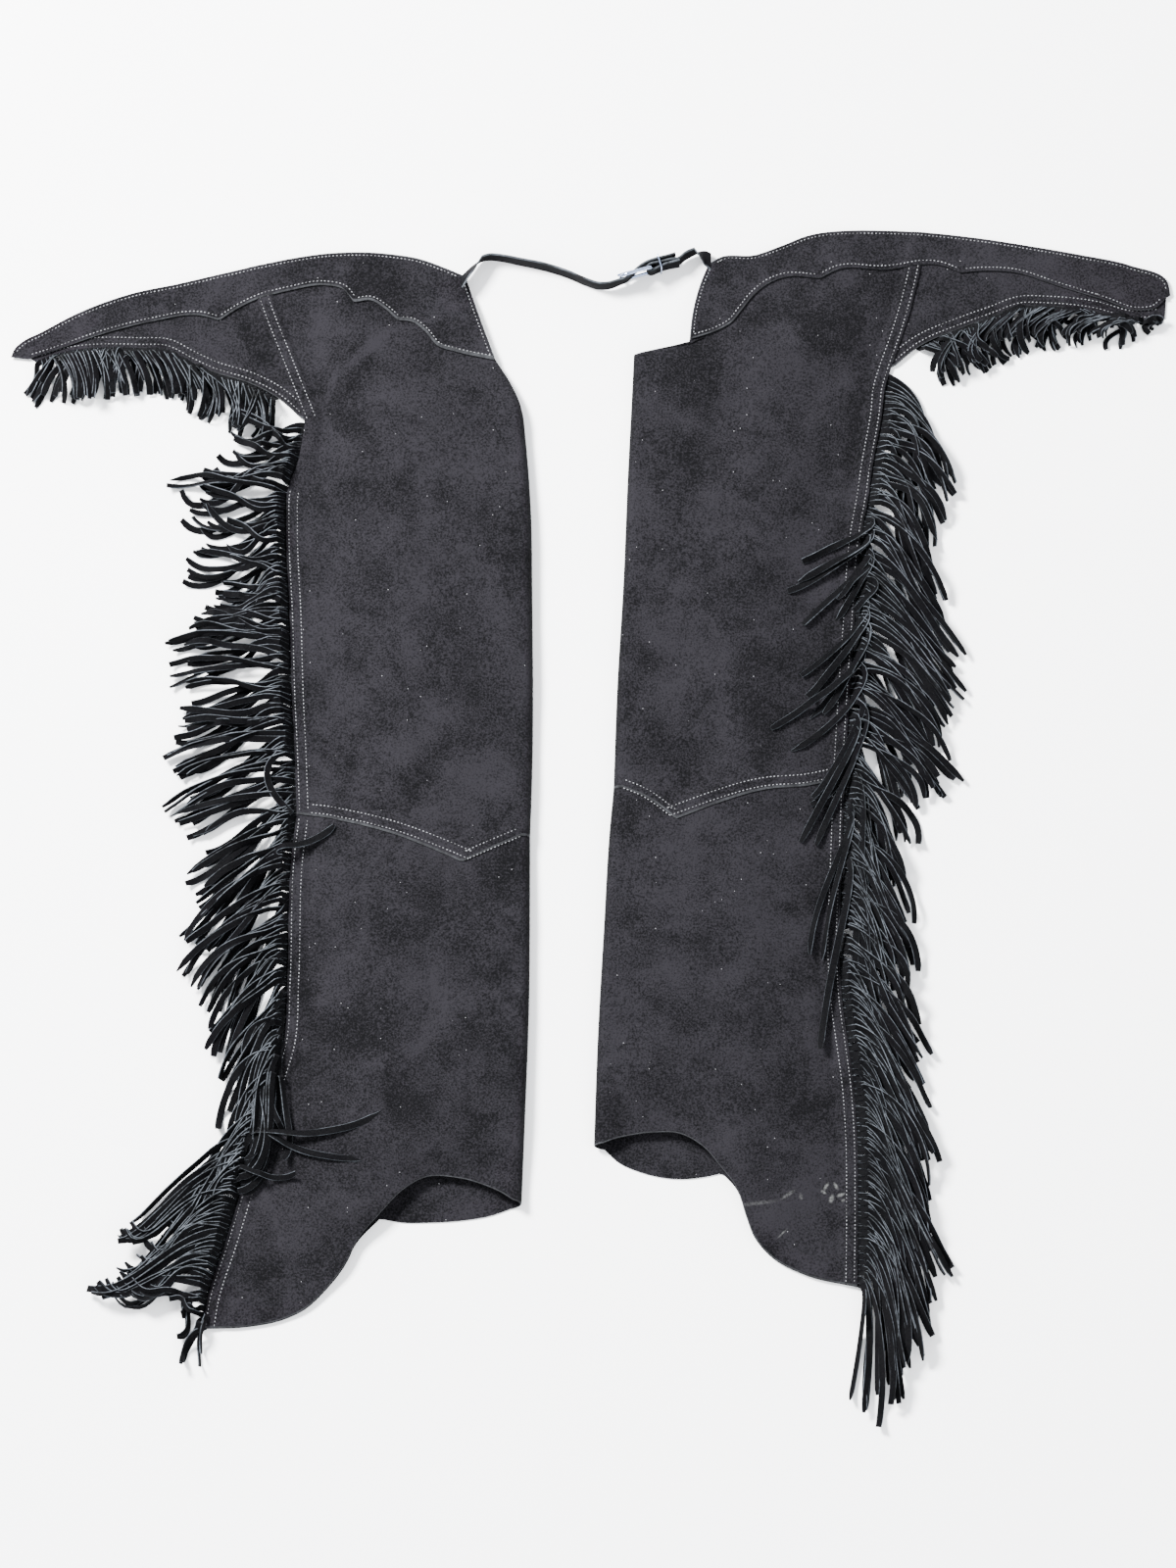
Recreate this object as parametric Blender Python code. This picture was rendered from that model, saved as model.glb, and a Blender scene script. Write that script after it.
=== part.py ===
"""Western shotgun chaps with fringe, laid out flat with their fronts up and the front belt buckled.

Frame: metres, +Z up, origin on the surface that the garment lies on, below the middle of its box.
+Y runs from the hems to the waist. left_ is the leg at -X and right_ the leg at +X, as laid.
Every table below is in millimetres in that plan, x across and y up the garment, and its y is drawn for
a side length of NOMINAL_SIDE; SIDE_LENGTH grades it.
"""

import math

import bmesh
import bpy
import numpy as np
from mathutils import Vector

SIDE_LENGTH = 1.133          # waist to heel along the outer seam
NOMINAL_SIDE = 1.100
GRADE = SIDE_LENGTH / NOMINAL_SIDE
MM = 0.001

LEATHER = 1.5                # suede split, mm
GAP = 0.3                    # between pieces that touch, mm
LAID_ON = LEATHER + 1.1      # a piece laid on another has its face this far above the lower one's face
HEADING = 12.0               # uncut band of a fringe strip, inside the seam
HEADING_LOW = 1.9
HEADING_TOP = 2.8
TURN_STEPS = 6               # faces round the turn at the inner leg
ACROSS = 11                  # faces across a leg's front
DOWN_HIP = 8
DOWN_THIGH = 11
DOWN_CALF = 13

STRAP_WIDTH = 18.5
STRAP_THICK = 2.2
BUCKLE_AT = (46.0, 568.0)
BUCKLE_SWING = math.radians(16)   # the buckle's long axis from +X, in plan
BUCKLE_LONG = 36.0
BUCKLE_HIGH = 30.0
BUCKLE_WIRE = 1.7
HEEL_ALONG = BUCKLE_LONG / 2 - BUCKLE_WIRE   # the straight heel of the frame, which the strap goes round
HEEL_TURN = 3.5              # from the heel's middle to the strap's, in plan
PRONG_WIRE = 1.2
KEEPER_ALONG = 26.0          # from the buckle's middle
KEEPER_IN = -5.0             # its inner and outer side, from the buckle's plane
KEEPER_OUT = 10.0
KEEPER_ROOM = 1.8
KEEPER_WIRE = 0.8

# Edges of each leg's pieces, as (x, y) points that a smooth line passes through. An edge with corners
# is a list of such lines. Every edge runs from the side seam or wing tip towards the front, or downwards.
LEFT = {
    "waist": [(-595, 484), (-570, 504), (-526, 530), (-475, 549), (-424, 560), (-373, 572), (-297, 588),
              (-259, 592), (-203, 590), (-178, 586), (-150, 576), (-129, 567)],
    "yoke_lower": [[(-577, 482), (-552, 490), (-501, 508), (-450, 521), (-399, 527), (-381, 522)],
                   [(-381, 522), (-363, 534), (-343, 544), (-310, 553), (-271, 558), (-254, 554),
                    (-243, 540)],
                   [(-243, 540), (-225, 542), (-213, 535), (-198, 521)],
                   [(-198, 521), (-183, 519), (-170, 509), (-157, 494), (-139, 488), (-98, 479)]],
    "front_end": [[(-129, 567), (-115, 526), (-98, 480)], [(-98, 480), (-83, 456), (-73, 435), (-69, 420)]],
    "hip_seam": [(-352, 576), (-342, 542), (-318, 480), (-293, 417)],
    "hip_lower": [(-570, 480), (-544, 489), (-460, 494), (-436, 493), (-412, 481), (-391, 471), (-348, 457),
                  (-322, 443), (-293, 417)],
    "side": [(-293, 417), (-300, 377), (-311, 345), (-312, 312), (-308, 217), (-305, 127), (-303, 90),
             (-300, 15)],
    "side_low": [(-300, 15), (-305, -25), (-309, -153), (-313, -219), (-323, -253), (-344, -330),
                 (-371, -420), (-389, -477), (-394, -507)],
    "inner": [(-69, 420), (-64, 366), (-61, 315), (-60, 247), (-60, 47), (-62, -10)],
    "inner_low": [(-62, -10), (-62, -53), (-63, -193), (-66, -286), (-69, -379)],
    "knee": [[(-300, 15), (-281, 13), (-243, 5), (-204, -6), (-153, -25), (-125, -37)],
             [(-125, -37), (-62, -10)]],
    "hem_front": [[(-394, -507), (-348, -505), (-313, -498), (-291, -488), (-268, -467), (-247, -440),
                   (-238, -422), (-212, -393)],
                  [(-212, -393), (-188, -369), (-163, -355), (-127, -356), (-86, -369), (-69, -379)]],
    "hem_back": [[(-394, -507), (-348, -505), (-313, -498), (-291, -488), (-268, -467), (-247, -440),
                  (-238, -422), (-212, -395)],
                 [(-212, -395), (-188, -399), (-163, -399), (-127, -397), (-94, -392), (-72, -385)]],
    # y of the root on the side edge, x and y of the strips' reach
    "side_fringe": [(402, -368, 378), (345, -400, 332), (274, -419, 274), (207, -428, 197), (145, -435, 130),
                    (90, -434, 60), (5, -420, -40), (-73, -413, -138), (-153, -390, -203),
                    (-238, -378, -273), (-308, -385, -353), (-372, -433, -413), (-420, -486, -423),
                    (-463, -513, -483), (-503, -500, -560)],
    "turned_fringe": [(-190, -300, -210), (-240, -276, -262), (-286, -214, -290), (-332, -231, -338),
                      (-370, -312, -372)],
    # x of the root on the hip panel's lower edge, x and y of the strips' reach
    "hip_fringe": [(-567, -583, 432), (-544, -553, 429), (-500, -513, 437), (-460, -463, 445),
                   (-419, -420, 424), (-391, -402, 415), (-348, -368, 395), (-320, -366, 397)],
}
RIGHT = {
    "waist": [(595, 548), (592, 562), (554, 579), (503, 590), (452, 599), (401, 607), (312, 615),
              (273, 615), (222, 609), (197, 599), (169, 589), (134, 587), (121, 579)],
    "yoke_lower": [[(590, 545), (580, 535), (559, 532), (529, 542), (478, 558), (432, 572), (401, 573),
                    (379, 571)],
                   [(379, 571), (358, 579), (299, 574), (252, 573), (235, 564)],
                   [(235, 564), (197, 565), (182, 559), (167, 547), (154, 530), (144, 517), (131, 509),
                    (102, 499)]],
    "front_end": [[(121, 579), (113, 560), (104, 525), (101, 497)], [(101, 497), (44, 485)]],
    "hip_seam": [(344, 606), (339, 578), (319, 504), (307, 471)],
    "hip_lower": [(589, 524), (554, 522), (516, 532), (467, 537), (442, 537), (414, 527), (386, 517),
                  (335, 494), (307, 471)],
    "side": [(307, 471), (301, 450), (299, 430), (288, 367), (284, 339), (278, 307), (269, 202),
             (259, 53)],
    "side_low": [(259, 53), (257, -3), (255, -53), (253, -131), (256, -179), (261, -215), (267, -261),
                 (270, -303), (271, -387), (270, -465)],
    "inner": [(44, 485), (42, 443), (38, 366), (33, 247), (27, 147), (23, 39)],
    "inner_low": [(23, 39), (19, -3), (13, -103), (7, -203), (2, -321)],
    "knee": [[(259, 53), (219, 43), (177, 38), (130, 25), (80, 7)], [(80, 7), (52, 27), (23, 39)]],
    "hem_front": [[(270, -465), (218, -453), (181, -433), (165, -414), (157, -394), (146, -365),
                   (131, -347)],
                  [(131, -347), (112, -326), (85, -311), (55, -310), (24, -314), (2, -321)]],
    "hem_back": [[(270, -465), (218, -453), (181, -433), (165, -414), (157, -394), (146, -365),
                  (131, -349)],
                 [(131, -349), (112, -353), (91, -355), (44, -348), (18, -337), (4, -325)]],
    "side_fringe": [(458, 352, 432), (417, 364, 352), (352, 342, 292), (290, 358, 232), (202, 378, 134),
                    (132, 372, 60), (55, 338, 20), (-3, 306, -52), (-73, 318, -138), (-143, 326, -210),
                    (-203, 336, -262), (-250, 340, -322), (-313, 338, -390), (-368, 360, -465),
                    (-423, 348, -552), (-445, 325, -612), (-464, 285, -615.4)],
    "turned_fringe": [(317, 236, 290), (257, 200, 246), (197, 216, 200), (147, 188, 102), (87, 204, 76),
                      (27, 222, 16), (-33, 219, -34), (-103, 219, -130), (-163, 232, -226)],
    "hip_fringe": [(588, 586, 506), (554, 549, 490), (516, 511, 497), (467, 478, 489), (442, 452, 484),
                   (414, 427, 478), (386, 412, 466), (357, 384, 458), (330, 358, 452)],
}
# How high a leg's upper face lies: y, at the side seam, at the crown
LEFT_HEIGHTS = [(592, 1.9, 3.5), (500, 3.0, 9.0), (417, 4.9, 18.0), (200, 4.9, 20.0), (-15, 4.9, 18.0),
                (-250, 4.9, 19.0), (-380, 4.9, 20.0), (-425, 4.9, 12.0), (-510, 4.9, 5.2)]
RIGHT_HEIGHTS = [(615, 1.9, 3.5), (560, 3.0, 9.0), (485, 4.9, 18.0), (200, 4.9, 20.0), (30, 4.9, 18.0),
                 (-200, 4.9, 19.0), (-325, 4.9, 20.0), (-380, 4.9, 12.0), (-470, 4.9, 5.2)]
CROWN_STARTS = 0.5           # share of the leg's width that the rise from the side seam takes
WING_SETTLES = 70.0          # distance from the hip seam over which the hip panel comes down to the ground

# How the belt stands on its edge: x, lift of its lower edge, lean from upright in degrees
BELT_STAND = [(-126, 6.0, 35), (-118, 3.2, 14), (-108, 0.8, -2), (-94, 0.0, -5), (-50, 0.0, -8), (-12, 0.0, -7),
              (22, 3.4, -7), (46, 5.8, -3), (75, 4.4, -6), (98, 2.4, -10), (110, 4.4, 6), (118, 6.5, 30)]
# Routes of the belt's middle line in plan; (along, out) points are measured from the buckle's middle
BILLET_FREE = [(-126, 570), (-118, 578), (-108, 584), (-96, 585), (-73, 580.5), (-50, 575.5), (-24, 567.5),
               (-4, 559), (8, 555)]
BILLET_THROUGH = [(-30, -5.2), (-18, -4.4), (-12, -3.8), (-5, -0.8), (3, 4.0), (11, 6.6), (17, 7.2), (24, 7.0),
                  (32, 6.2), (44, 5.6)]
BUCKLE_STRAP_FREE = [(118, 582), (117, 589), (112, 593), (103, 589.5), (96, 584.5), (90, 580)]
BUCKLE_STRAP_HELD = [(38, 1.4), (30, 2.0), (22, 3.0), (16.3, 3.5)]
BUCKLE_STRAP_RETURN = [(16.3, -3.5), (22, -2.8), (30, -1.8), (38, -2.0), (46, -2.6)]

SUEDE = ((0.040, 0.038, 0.043), 0.92, 0.0)
SUEDE_STRAP = ((0.030, 0.030, 0.033), 0.80, 0.0)
CHROME = ((0.78, 0.80, 0.84), 0.12, 1.0)


def graded(points):
    return [np.array((x, y * GRADE)) for x, y in points]


def smooth_line(points, count):
    """count + 1 points on a smooth line through the given ones, evenly spaced along it."""
    points = np.array(points, float)
    if len(points) == 2:
        return points[0] + np.linspace(0, 1, count + 1)[:, None] * (points[1] - points[0])
    knots = np.concatenate([[0], np.cumsum(np.linalg.norm(np.diff(points, axis=0), axis=1))])
    slopes = np.gradient(points, knots, axis=0)
    fine = []
    for i in range(len(points) - 1):
        span = knots[i + 1] - knots[i]
        for t in np.linspace(0, 1, 16, endpoint=False):
            fine.append((2 * t ** 3 - 3 * t ** 2 + 1) * points[i] + (t ** 3 - 2 * t ** 2 + t) * span * slopes[i]
                        + (3 * t ** 2 - 2 * t ** 3) * points[i + 1] + (t ** 3 - t ** 2) * span * slopes[i + 1])
    fine = np.array(fine + [points[-1]])
    run = np.concatenate([[0], np.cumsum(np.linalg.norm(np.diff(fine, axis=0), axis=1))])
    at = np.linspace(0, run[-1], count + 1)
    return np.stack([np.interp(at, run, fine[:, k]) for k in range(fine.shape[1])], axis=1)


def cornered_line(parts, counts):
    """Smooth lines joined at corners, each with its own number of steps."""
    lines = [smooth_line(part, count) for part, count in zip(parts, counts)]
    return np.concatenate([lines[0]] + [line[1:] for line in lines[1:]])


def shared_counts(parts, total):
    """Split a number of steps among the parts of an edge by their length."""
    lengths = [np.linalg.norm(np.diff(np.array(part, float), axis=0), axis=1).sum() for part in parts]
    counts = [max(1, round(total * length / sum(lengths))) for length in lengths]
    counts[int(np.argmax(counts))] += total - sum(counts)
    return counts


def patch(top, bottom, first, last):
    """Grid of plan points between four edges; rows run down, columns run from first to last."""
    rows, columns = len(first) - 1, len(top) - 1
    grid = np.zeros((rows + 1, columns + 1, 2))
    for j in range(rows + 1):
        v = j / rows
        for i in range(columns + 1):
            u = i / columns
            corners = ((1 - u) * (1 - v) * top[0] + u * (1 - v) * top[-1]
                       + (1 - u) * v * bottom[0] + u * v * bottom[-1])
            grid[j, i] = (1 - v) * top[i] + v * bottom[i] + (1 - u) * first[j] + u * last[j] - corners
    return grid


class Leg:
    """One leg's edges in graded millimetres, and how high its upper face lies."""

    def __init__(self, name, edges, heights, inward):
        self.name = name
        self.inward = inward                     # +1 where the inner leg is at +X
        self.edge = {key: [graded(part) for part in rows] if isinstance(rows[0], list) else graded(rows)
                     for key, rows in edges.items() if not key.endswith("fringe")}
        self.heights = np.array([(y * GRADE, seam, crown) for y, seam, crown in heights])
        outer = np.concatenate([smooth_line(self.edge[k], 40) for k in ("hip_seam", "side", "side_low")])
        inner = np.concatenate([cornered_line(self.edge["front_end"], (20, 20))]
                               + [smooth_line(self.edge[k], 40) for k in ("inner", "inner_low")])
        self.outer = outer[np.argsort(outer[:, 1])]
        self.inner = inner[np.argsort(inner[:, 1])]
        lower = smooth_line(self.edge["hip_lower"], 60)
        self.lower = lower[np.argsort(lower[:, 0])]
        self.fringe = {}
        for key in ("side_fringe", "turned_fringe"):
            self.fringe[key] = [(np.array((self.side_x(root * GRADE), root * GRADE)), np.array((x, y * GRADE)))
                                for root, x, y in edges[key]]
        self.fringe["hip_fringe"] = [(np.array((root, np.interp(root, self.lower[:, 0], self.lower[:, 1]))),
                                      np.array((x, y * GRADE))) for root, x, y in edges["hip_fringe"]]

    def side_x(self, y):
        return np.interp(y, self.outer[:, 1], self.outer[:, 0])

    def seam_and_crown(self, y):
        """Height of the upper face at the side seam and at the crown, smooth between the table's rows."""
        rows = self.heights
        y = min(max(y, rows[-1][0]), rows[0][0])
        for above, below in zip(rows, rows[1:]):
            if y >= below[0]:
                t = (above[0] - y) / (above[0] - below[0])
                t = t * t * (3 - 2 * t)
                return above[1] + t * (below[1] - above[1]), above[2] + t * (below[2] - above[2])
        return rows[-1][1], rows[-1][2]

    def height(self, x, y):
        """Upper face of the thigh, calf and hip panels at a plan point."""
        seam, crown = self.seam_and_crown(y)
        outer = self.side_x(y)
        inner = np.interp(y, self.inner[:, 1], self.inner[:, 0])
        share = (x - outer) / (inner - outer)
        if share < 0:
            return LEATHER + (seam - LEATHER) * math.exp(-((x - outer) / WING_SETTLES) ** 2)
        t = min(1.0, share / CROWN_STARTS)
        return seam + (crown - seam) * t * t * (3 - 2 * t)

    def turn_radius(self, y):
        return self.seam_and_crown(y)[1] / 2

    def turned_in(self, edge):
        """An inner edge moved back by the radius of the turn."""
        return np.array([(x - self.inward * self.turn_radius(y), y) for x, y in edge])


def material(name, look):
    colour, roughness, metallic = look
    made = bpy.data.materials.get(name) or bpy.data.materials.new(name)
    made.use_nodes = True
    shader = made.node_tree.nodes["Principled BSDF"]
    shader.inputs["Base Color"].default_value = (*colour, 1)
    shader.inputs["Roughness"].default_value = roughness
    shader.inputs["Metallic"].default_value = metallic
    made.diffuse_color = (*colour, 1)
    return made


def make_object(name, vertices, faces, look):
    """A named object from points in millimetres."""
    mesh = bpy.data.meshes.new(name)
    mesh.from_pydata([tuple(float(c) * MM for c in v) for v in vertices], [], faces)
    mesh.materials.append(material(name, look))
    made = bpy.data.objects.new(name, mesh)
    bpy.context.collection.objects.link(made)
    form = bmesh.new()
    form.from_mesh(mesh)
    if all(edge.is_manifold for edge in form.edges):
        bmesh.ops.recalc_face_normals(form, faces=form.faces)
    elif sum(face.normal.z * face.calc_area() * (face.calc_center_median().z + MM) for face in form.faces) < 0:
        bmesh.ops.reverse_faces(form, faces=form.faces)
    form.to_mesh(mesh)
    form.free()
    return made


def give_wall(sheet, thickness=LEATHER):
    """Turn a sheet that follows the outer face into a closed wall of leather."""
    wall = sheet.modifiers.new("Leather", 'SOLIDIFY')
    wall.thickness = thickness * MM
    wall.offset = -1
    wall.use_even_offset = True
    wall.use_quality_normals = True
    return sheet


def laid_sheet(name, leg, grid, above=0.0):
    """A single piece of leather whose face lies above the panels' upper face by the given distance."""
    rows, columns = grid.shape[0] - 1, grid.shape[1] - 1
    face = [(x, y, leg.height(x, y) + above) for x, y in grid.reshape(-1, 2)]
    under = [(x, y, z - LEATHER) for x, y, z in face]
    top = [(j * (columns + 1) + i, j * (columns + 1) + i + 1, (j + 1) * (columns + 1) + i + 1,
            (j + 1) * (columns + 1) + i) for j in range(rows) for i in range(columns)]
    rim = ([j * (columns + 1) for j in range(rows)] + [rows * (columns + 1) + i for i in range(columns)]
           + [j * (columns + 1) + columns for j in range(rows, 0, -1)] + list(range(columns, 0, -1)))
    low = len(face)
    faces = top + [tuple(low + k for k in quad[::-1]) for quad in top]
    faces += [(a, b, low + b, low + a) for a, b in zip(rim, rim[1:] + rim[:1])]
    return make_object(name, face + under, faces, SUEDE)


def wrapped_panel(name, leg, front, back, first_turned):
    """Front, turn at the inner leg, and back lying on the ground. Rows above first_turned have no back."""
    rows, columns = front.shape[0] - 1, front.shape[1] - 1
    points, place, faces = [], {}, []

    def put(row, column, point):
        place[row, column] = len(points)
        points.append(point)

    half_turn = TURN_STEPS // 2
    for j in range(rows + 1):
        for i in range(columns + 1):
            x, y = front[j, i]
            put(j, i, (x, y, leg.height(x, y)))
        top, low = front[j, columns], back[j, columns]
        radius = leg.turn_radius(top[1])
        rounding = 1.0 if j >= first_turned or first_turned == 0 else (j / first_turned) ** 2
        for k in range(1, TURN_STEPS + 1):
            if k > half_turn and j < first_turned:
                break
            angle = math.pi * k / TURN_STEPS
            share = k / TURN_STEPS
            reach = rounding * math.sin(angle) + (1 - rounding) * min(1.0, k / half_turn)
            sink = rounding * radius * (1 - math.cos(angle))
            x = top[0] + share * (low[0] - top[0]) + leg.inward * radius * reach
            y = top[1] + share * (low[1] - top[1])
            put(j, columns + k, (x, y, leg.height(top[0], top[1]) - sink if k < TURN_STEPS else 0.0))
        if j >= first_turned:
            for i in range(columns - 1, -1, -1):
                x, y = back[j, i]
                put(j, columns + TURN_STEPS + columns - i, (x, y, 0.0))
    for j in range(rows):
        for i in range(2 * columns + TURN_STEPS):
            corners = [(j, i), (j, i + 1), (j + 1, i + 1), (j + 1, i)]
            if all(corner in place for corner in corners):
                faces.append([place[corner] for corner in corners])
    return give_wall(make_object(name, points, faces, SUEDE))


def shifted(edge, dx=0.0, dy=0.0):
    return np.array(edge) + np.array((dx, dy))


def seam_gap(edge, distance):
    """A seam line moved up the garment by a distance, to leave the gap between two pieces."""
    return shifted(edge, dy=distance)


def make_thigh(leg):
    """Thigh panel: the waist to the pointed knee seam."""
    edge = leg.edge
    waist = smooth_line(edge["waist"], 120)
    seam_top = edge["hip_seam"][0]
    front_part = [p for p in waist if (p[0] - seam_top[0]) * leg.inward > 4]
    top = smooth_line([seam_top] + [p - (0, 2.5) for p in front_part[:-1:6]]
                      + [edge["front_end"][0][0] - (0, 2.0)], ACROSS)
    knee = seam_gap(cornered_line(edge["knee"], shared_counts(edge["knee"], ACROSS)), GAP / 2)
    outer = cornered_line([edge["hip_seam"], edge["side"]], (DOWN_HIP, DOWN_THIGH))
    ends = shared_counts(edge["front_end"], DOWN_HIP)
    inner = cornered_line(edge["front_end"] + [edge["inner"]], ends + [DOWN_THIGH])
    outer[0], outer[-1] = top[0], knee[0]
    inner[0], inner[-1] = top[-1], knee[-1]
    turned = leg.turned_in(inner)
    top = top + np.linspace(0, 1, ACROSS + 1)[:, None] * (turned[0] - top[-1])
    knee = knee + np.linspace(0, 1, ACROSS + 1)[:, None] * (turned[-1] - knee[-1])
    front = patch(top, knee, outer, turned)
    return wrapped_panel(leg.name + "_thigh_panel", leg, front, front, DOWN_HIP)


def make_calf(leg):
    """Calf panel: the knee seam to the hems; the front hem is arched higher than the back."""
    edge = leg.edge
    knee = seam_gap(cornered_line(edge["knee"], shared_counts(edge["knee"], ACROSS)), -GAP / 2)
    counts = shared_counts(edge["hem_front"], ACROSS)
    outer = smooth_line(edge["side_low"], DOWN_CALF)
    outer[0] = knee[0]
    inner = smooth_line(edge["inner_low"], DOWN_CALF)
    inner[0] = knee[-1]
    turned = leg.turned_in(inner)
    slide = np.linspace(0, 1, ACROSS + 1)[:, None] * (turned[0] - knee[-1])
    grids = []
    for key in ("hem_front", "hem_back"):
        hem = cornered_line(edge[key], counts)
        side = turned.copy()
        end = leg.turned_in(hem[-1:])[0]
        side += np.linspace(0, 1, len(side))[:, None] ** 3 * (end - side[-1])
        hem = hem + np.linspace(0, 1, ACROSS + 1)[:, None] ** 3 * (end - hem[-1])
        grids.append(patch(knee + slide, hem, outer, side))
    return wrapped_panel(leg.name + "_calf_panel", leg, grids[0], grids[1], 0)


def make_hip(leg):
    """Hip panel: from the hip seam round to the back waist, lying spread outwards."""
    edge = leg.edge
    columns, rows = 16, 6
    waist = smooth_line(edge["waist"], 120)
    seam = smooth_line(edge["hip_seam"], rows)
    seam = shifted(seam, dx=-leg.inward * GAP)
    back_part = [p for p in waist if (seam[0][0] - p[0]) * leg.inward > 6]
    top = smooth_line([p - (0, 3.0) for p in back_part[4::6]] + [seam[0]], columns)
    lower = smooth_line(edge["hip_lower"], columns)
    lower[-1] = seam[-1]
    tip = smooth_line([top[0], lower[0]], rows)
    return laid_sheet(leg.name + "_hip_panel", leg, patch(top, lower, tip, seam))


def make_yoke(leg):
    """Scalloped waistband, laid on the thigh panel and the hip panel."""
    edge = leg.edge
    columns, rows = 44, 5
    lower = cornered_line(edge["yoke_lower"], shared_counts(edge["yoke_lower"], columns))
    top = smooth_line(edge["waist"], columns)
    end = smooth_line(edge["front_end"][0], rows)
    end[-1] = lower[-1]
    tip = smooth_line([top[0], lower[0]], rows)
    return laid_sheet(leg.name + "_yoke", leg, patch(top, lower, tip, end), LAID_ON)


def loft(name, rings, look=SUEDE, closed=False):
    """Closed solid through rings of points, joined end to end or with flat ends."""
    size, count = len(rings[0]), len(rings)
    points = [p for ring in rings for p in ring]
    faces = [] if closed else [tuple(range(size)), tuple(range((count - 1) * size, count * size))]
    for j in range(count if closed else count - 1):
        here, there = j * size, (j + 1) % count * size
        for i in range(size):
            faces.append((here + i, here + (i + 1) % size, there + (i + 1) % size, there + i))
    return make_object(name, points, faces, look)


def fringe_lines(rows, count, edge, axis):
    """Roots on an edge, evenly spaced along one axis, and where the strips from each one reach."""
    at = np.array([root[axis] for root, _ in rows])
    order = np.argsort(at)
    where = np.linspace(at[0], at[-1], count + 1)
    roots = np.stack([np.interp(where, edge[:, axis], edge[:, k]) for k in (0, 1)], axis=1)
    reaches = np.stack([np.interp(where, at[order], np.array([reach[k] for _, reach in rows])[order])
                        for k in (0, 1)], axis=1)
    return roots, reaches


def make_side_fringe(leg):
    """Reach of the side fringe: its heading lies in the side seam, its strips on the ground outside it."""
    roots, reaches = fringe_lines(leg.fringe["side_fringe"], 30, leg.outer, 1)
    away = np.gradient(roots, axis=0)
    rings = []
    for root, reach, along in zip(roots, reaches, away):
        out = np.array((along[1], -along[0])) * leg.inward / np.linalg.norm(along)
        length = np.linalg.norm(reach - root)
        course = (reach - root) / length
        section = [(-HEADING, HEADING_LOW, out), (1.2, HEADING_LOW, out), (6.0, 0.0, course),
                   (length, 0.0, course), (length, 2.0, course), (0.7 * length, 7.0, course),
                   (0.3 * length, 10.0, course), (7.0, 8.0, course), (1.2, HEADING_TOP, out),
                   (-HEADING, HEADING_TOP, out)]
        rings.append([(*(root + d * way), z) for d, z, way in section])
    return loft(leg.name + "_side_fringe", rings)


def make_hip_fringe(leg):
    """Reach of the fringe that hangs out from under the hip panel's lower edge."""
    roots, reaches = fringe_lines(leg.fringe["hip_fringe"], 14, leg.lower, 0)
    rings = []
    for root, reach in zip(roots, reaches):
        length = np.linalg.norm(reach - root)
        course = (reach - root) / length
        section = [(1.2, 0.0), (length, 0.0), (length, 2.0), (0.5 * length, 6.0), (4.0, 5.0), (1.2, 2.6)]
        rings.append([(*(root + d * course), z) for d, z in section])
    return loft(leg.name + "_hip_fringe", rings)


def make_turned_fringe(leg):
    """Reach of the strips that are turned back over the leg: a low cover made from the panels' points."""
    roots, reaches = fringe_lines(leg.fringe["turned_fringe"], 18, leg.outer, 1)
    steps = 5
    rings = []
    for root, reach in zip(roots, reaches):
        line = [root + (reach - root) * k / steps for k in range(steps + 1)]
        low = [(*p, leg.height(*p) + 0.8) for p in line]
        high = [(*p, leg.height(*p) + 0.8 + (2.0 if k in (0, steps) else 5.0)) for k, p in enumerate(line)]
        rings.append(low + high[::-1])
    return loft(leg.name + "_turned_fringe", rings)


def from_buckle(along, out):
    """Plan point measured from the buckle's middle, along it and out of its face."""
    x, y = BUCKLE_AT[0], BUCKLE_AT[1] * GRADE
    c, s = math.cos(BUCKLE_SWING), math.sin(BUCKLE_SWING)
    return np.array((x + along * c - out * s, y + along * s + out * c))


def belt_stand(x):
    rows = np.array(BELT_STAND, float)
    return np.interp(x, rows[:, 0], rows[:, 1]), math.radians(np.interp(x, rows[:, 0], rows[:, 2]))


def belt_point(plan, up):
    """A point of the belt that stands on its edge: up is measured across the strap from its lower edge."""
    lift, lean = belt_stand(plan[0])
    return (plan[0], plan[1] - up * math.sin(lean), lift + up * math.cos(lean))


def strap(name, route):
    """A strap standing on its edge along a route in plan."""
    route = np.array(route)
    along = np.gradient(route, axis=0)
    rings = []
    for point, way in zip(route, along):
        side = np.array((-way[1], way[0])) / np.linalg.norm(way) * STRAP_THICK / 2
        rings.append([belt_point(point - side, 0), belt_point(point + side, 0),
                      belt_point(point + side, STRAP_WIDTH), belt_point(point - side, STRAP_WIDTH)])
    return loft(name, rings, SUEDE_STRAP)


def wire(name, route, radius, closed=False, sides=10, look=CHROME):
    """A round wire along a route of points, closed into a ring or with flat ends."""
    route = [Vector(p) for p in route]
    count = len(route)
    rings = []
    side = None
    for k, point in enumerate(route):
        before = route[k - 1] if closed or k else point
        after = route[(k + 1) % count] if closed or k < count - 1 else point
        way = (after - before).normalized()
        side = (way.orthogonal() if side is None else side - side.dot(way) * way).normalized()
        other = way.cross(side)
        rings.append([point + radius * (math.cos(a) * side + math.sin(a) * other)
                      for a in (2 * math.pi * i / sides for i in range(sides))])
    return loft(name, rings, look, closed)


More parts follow.
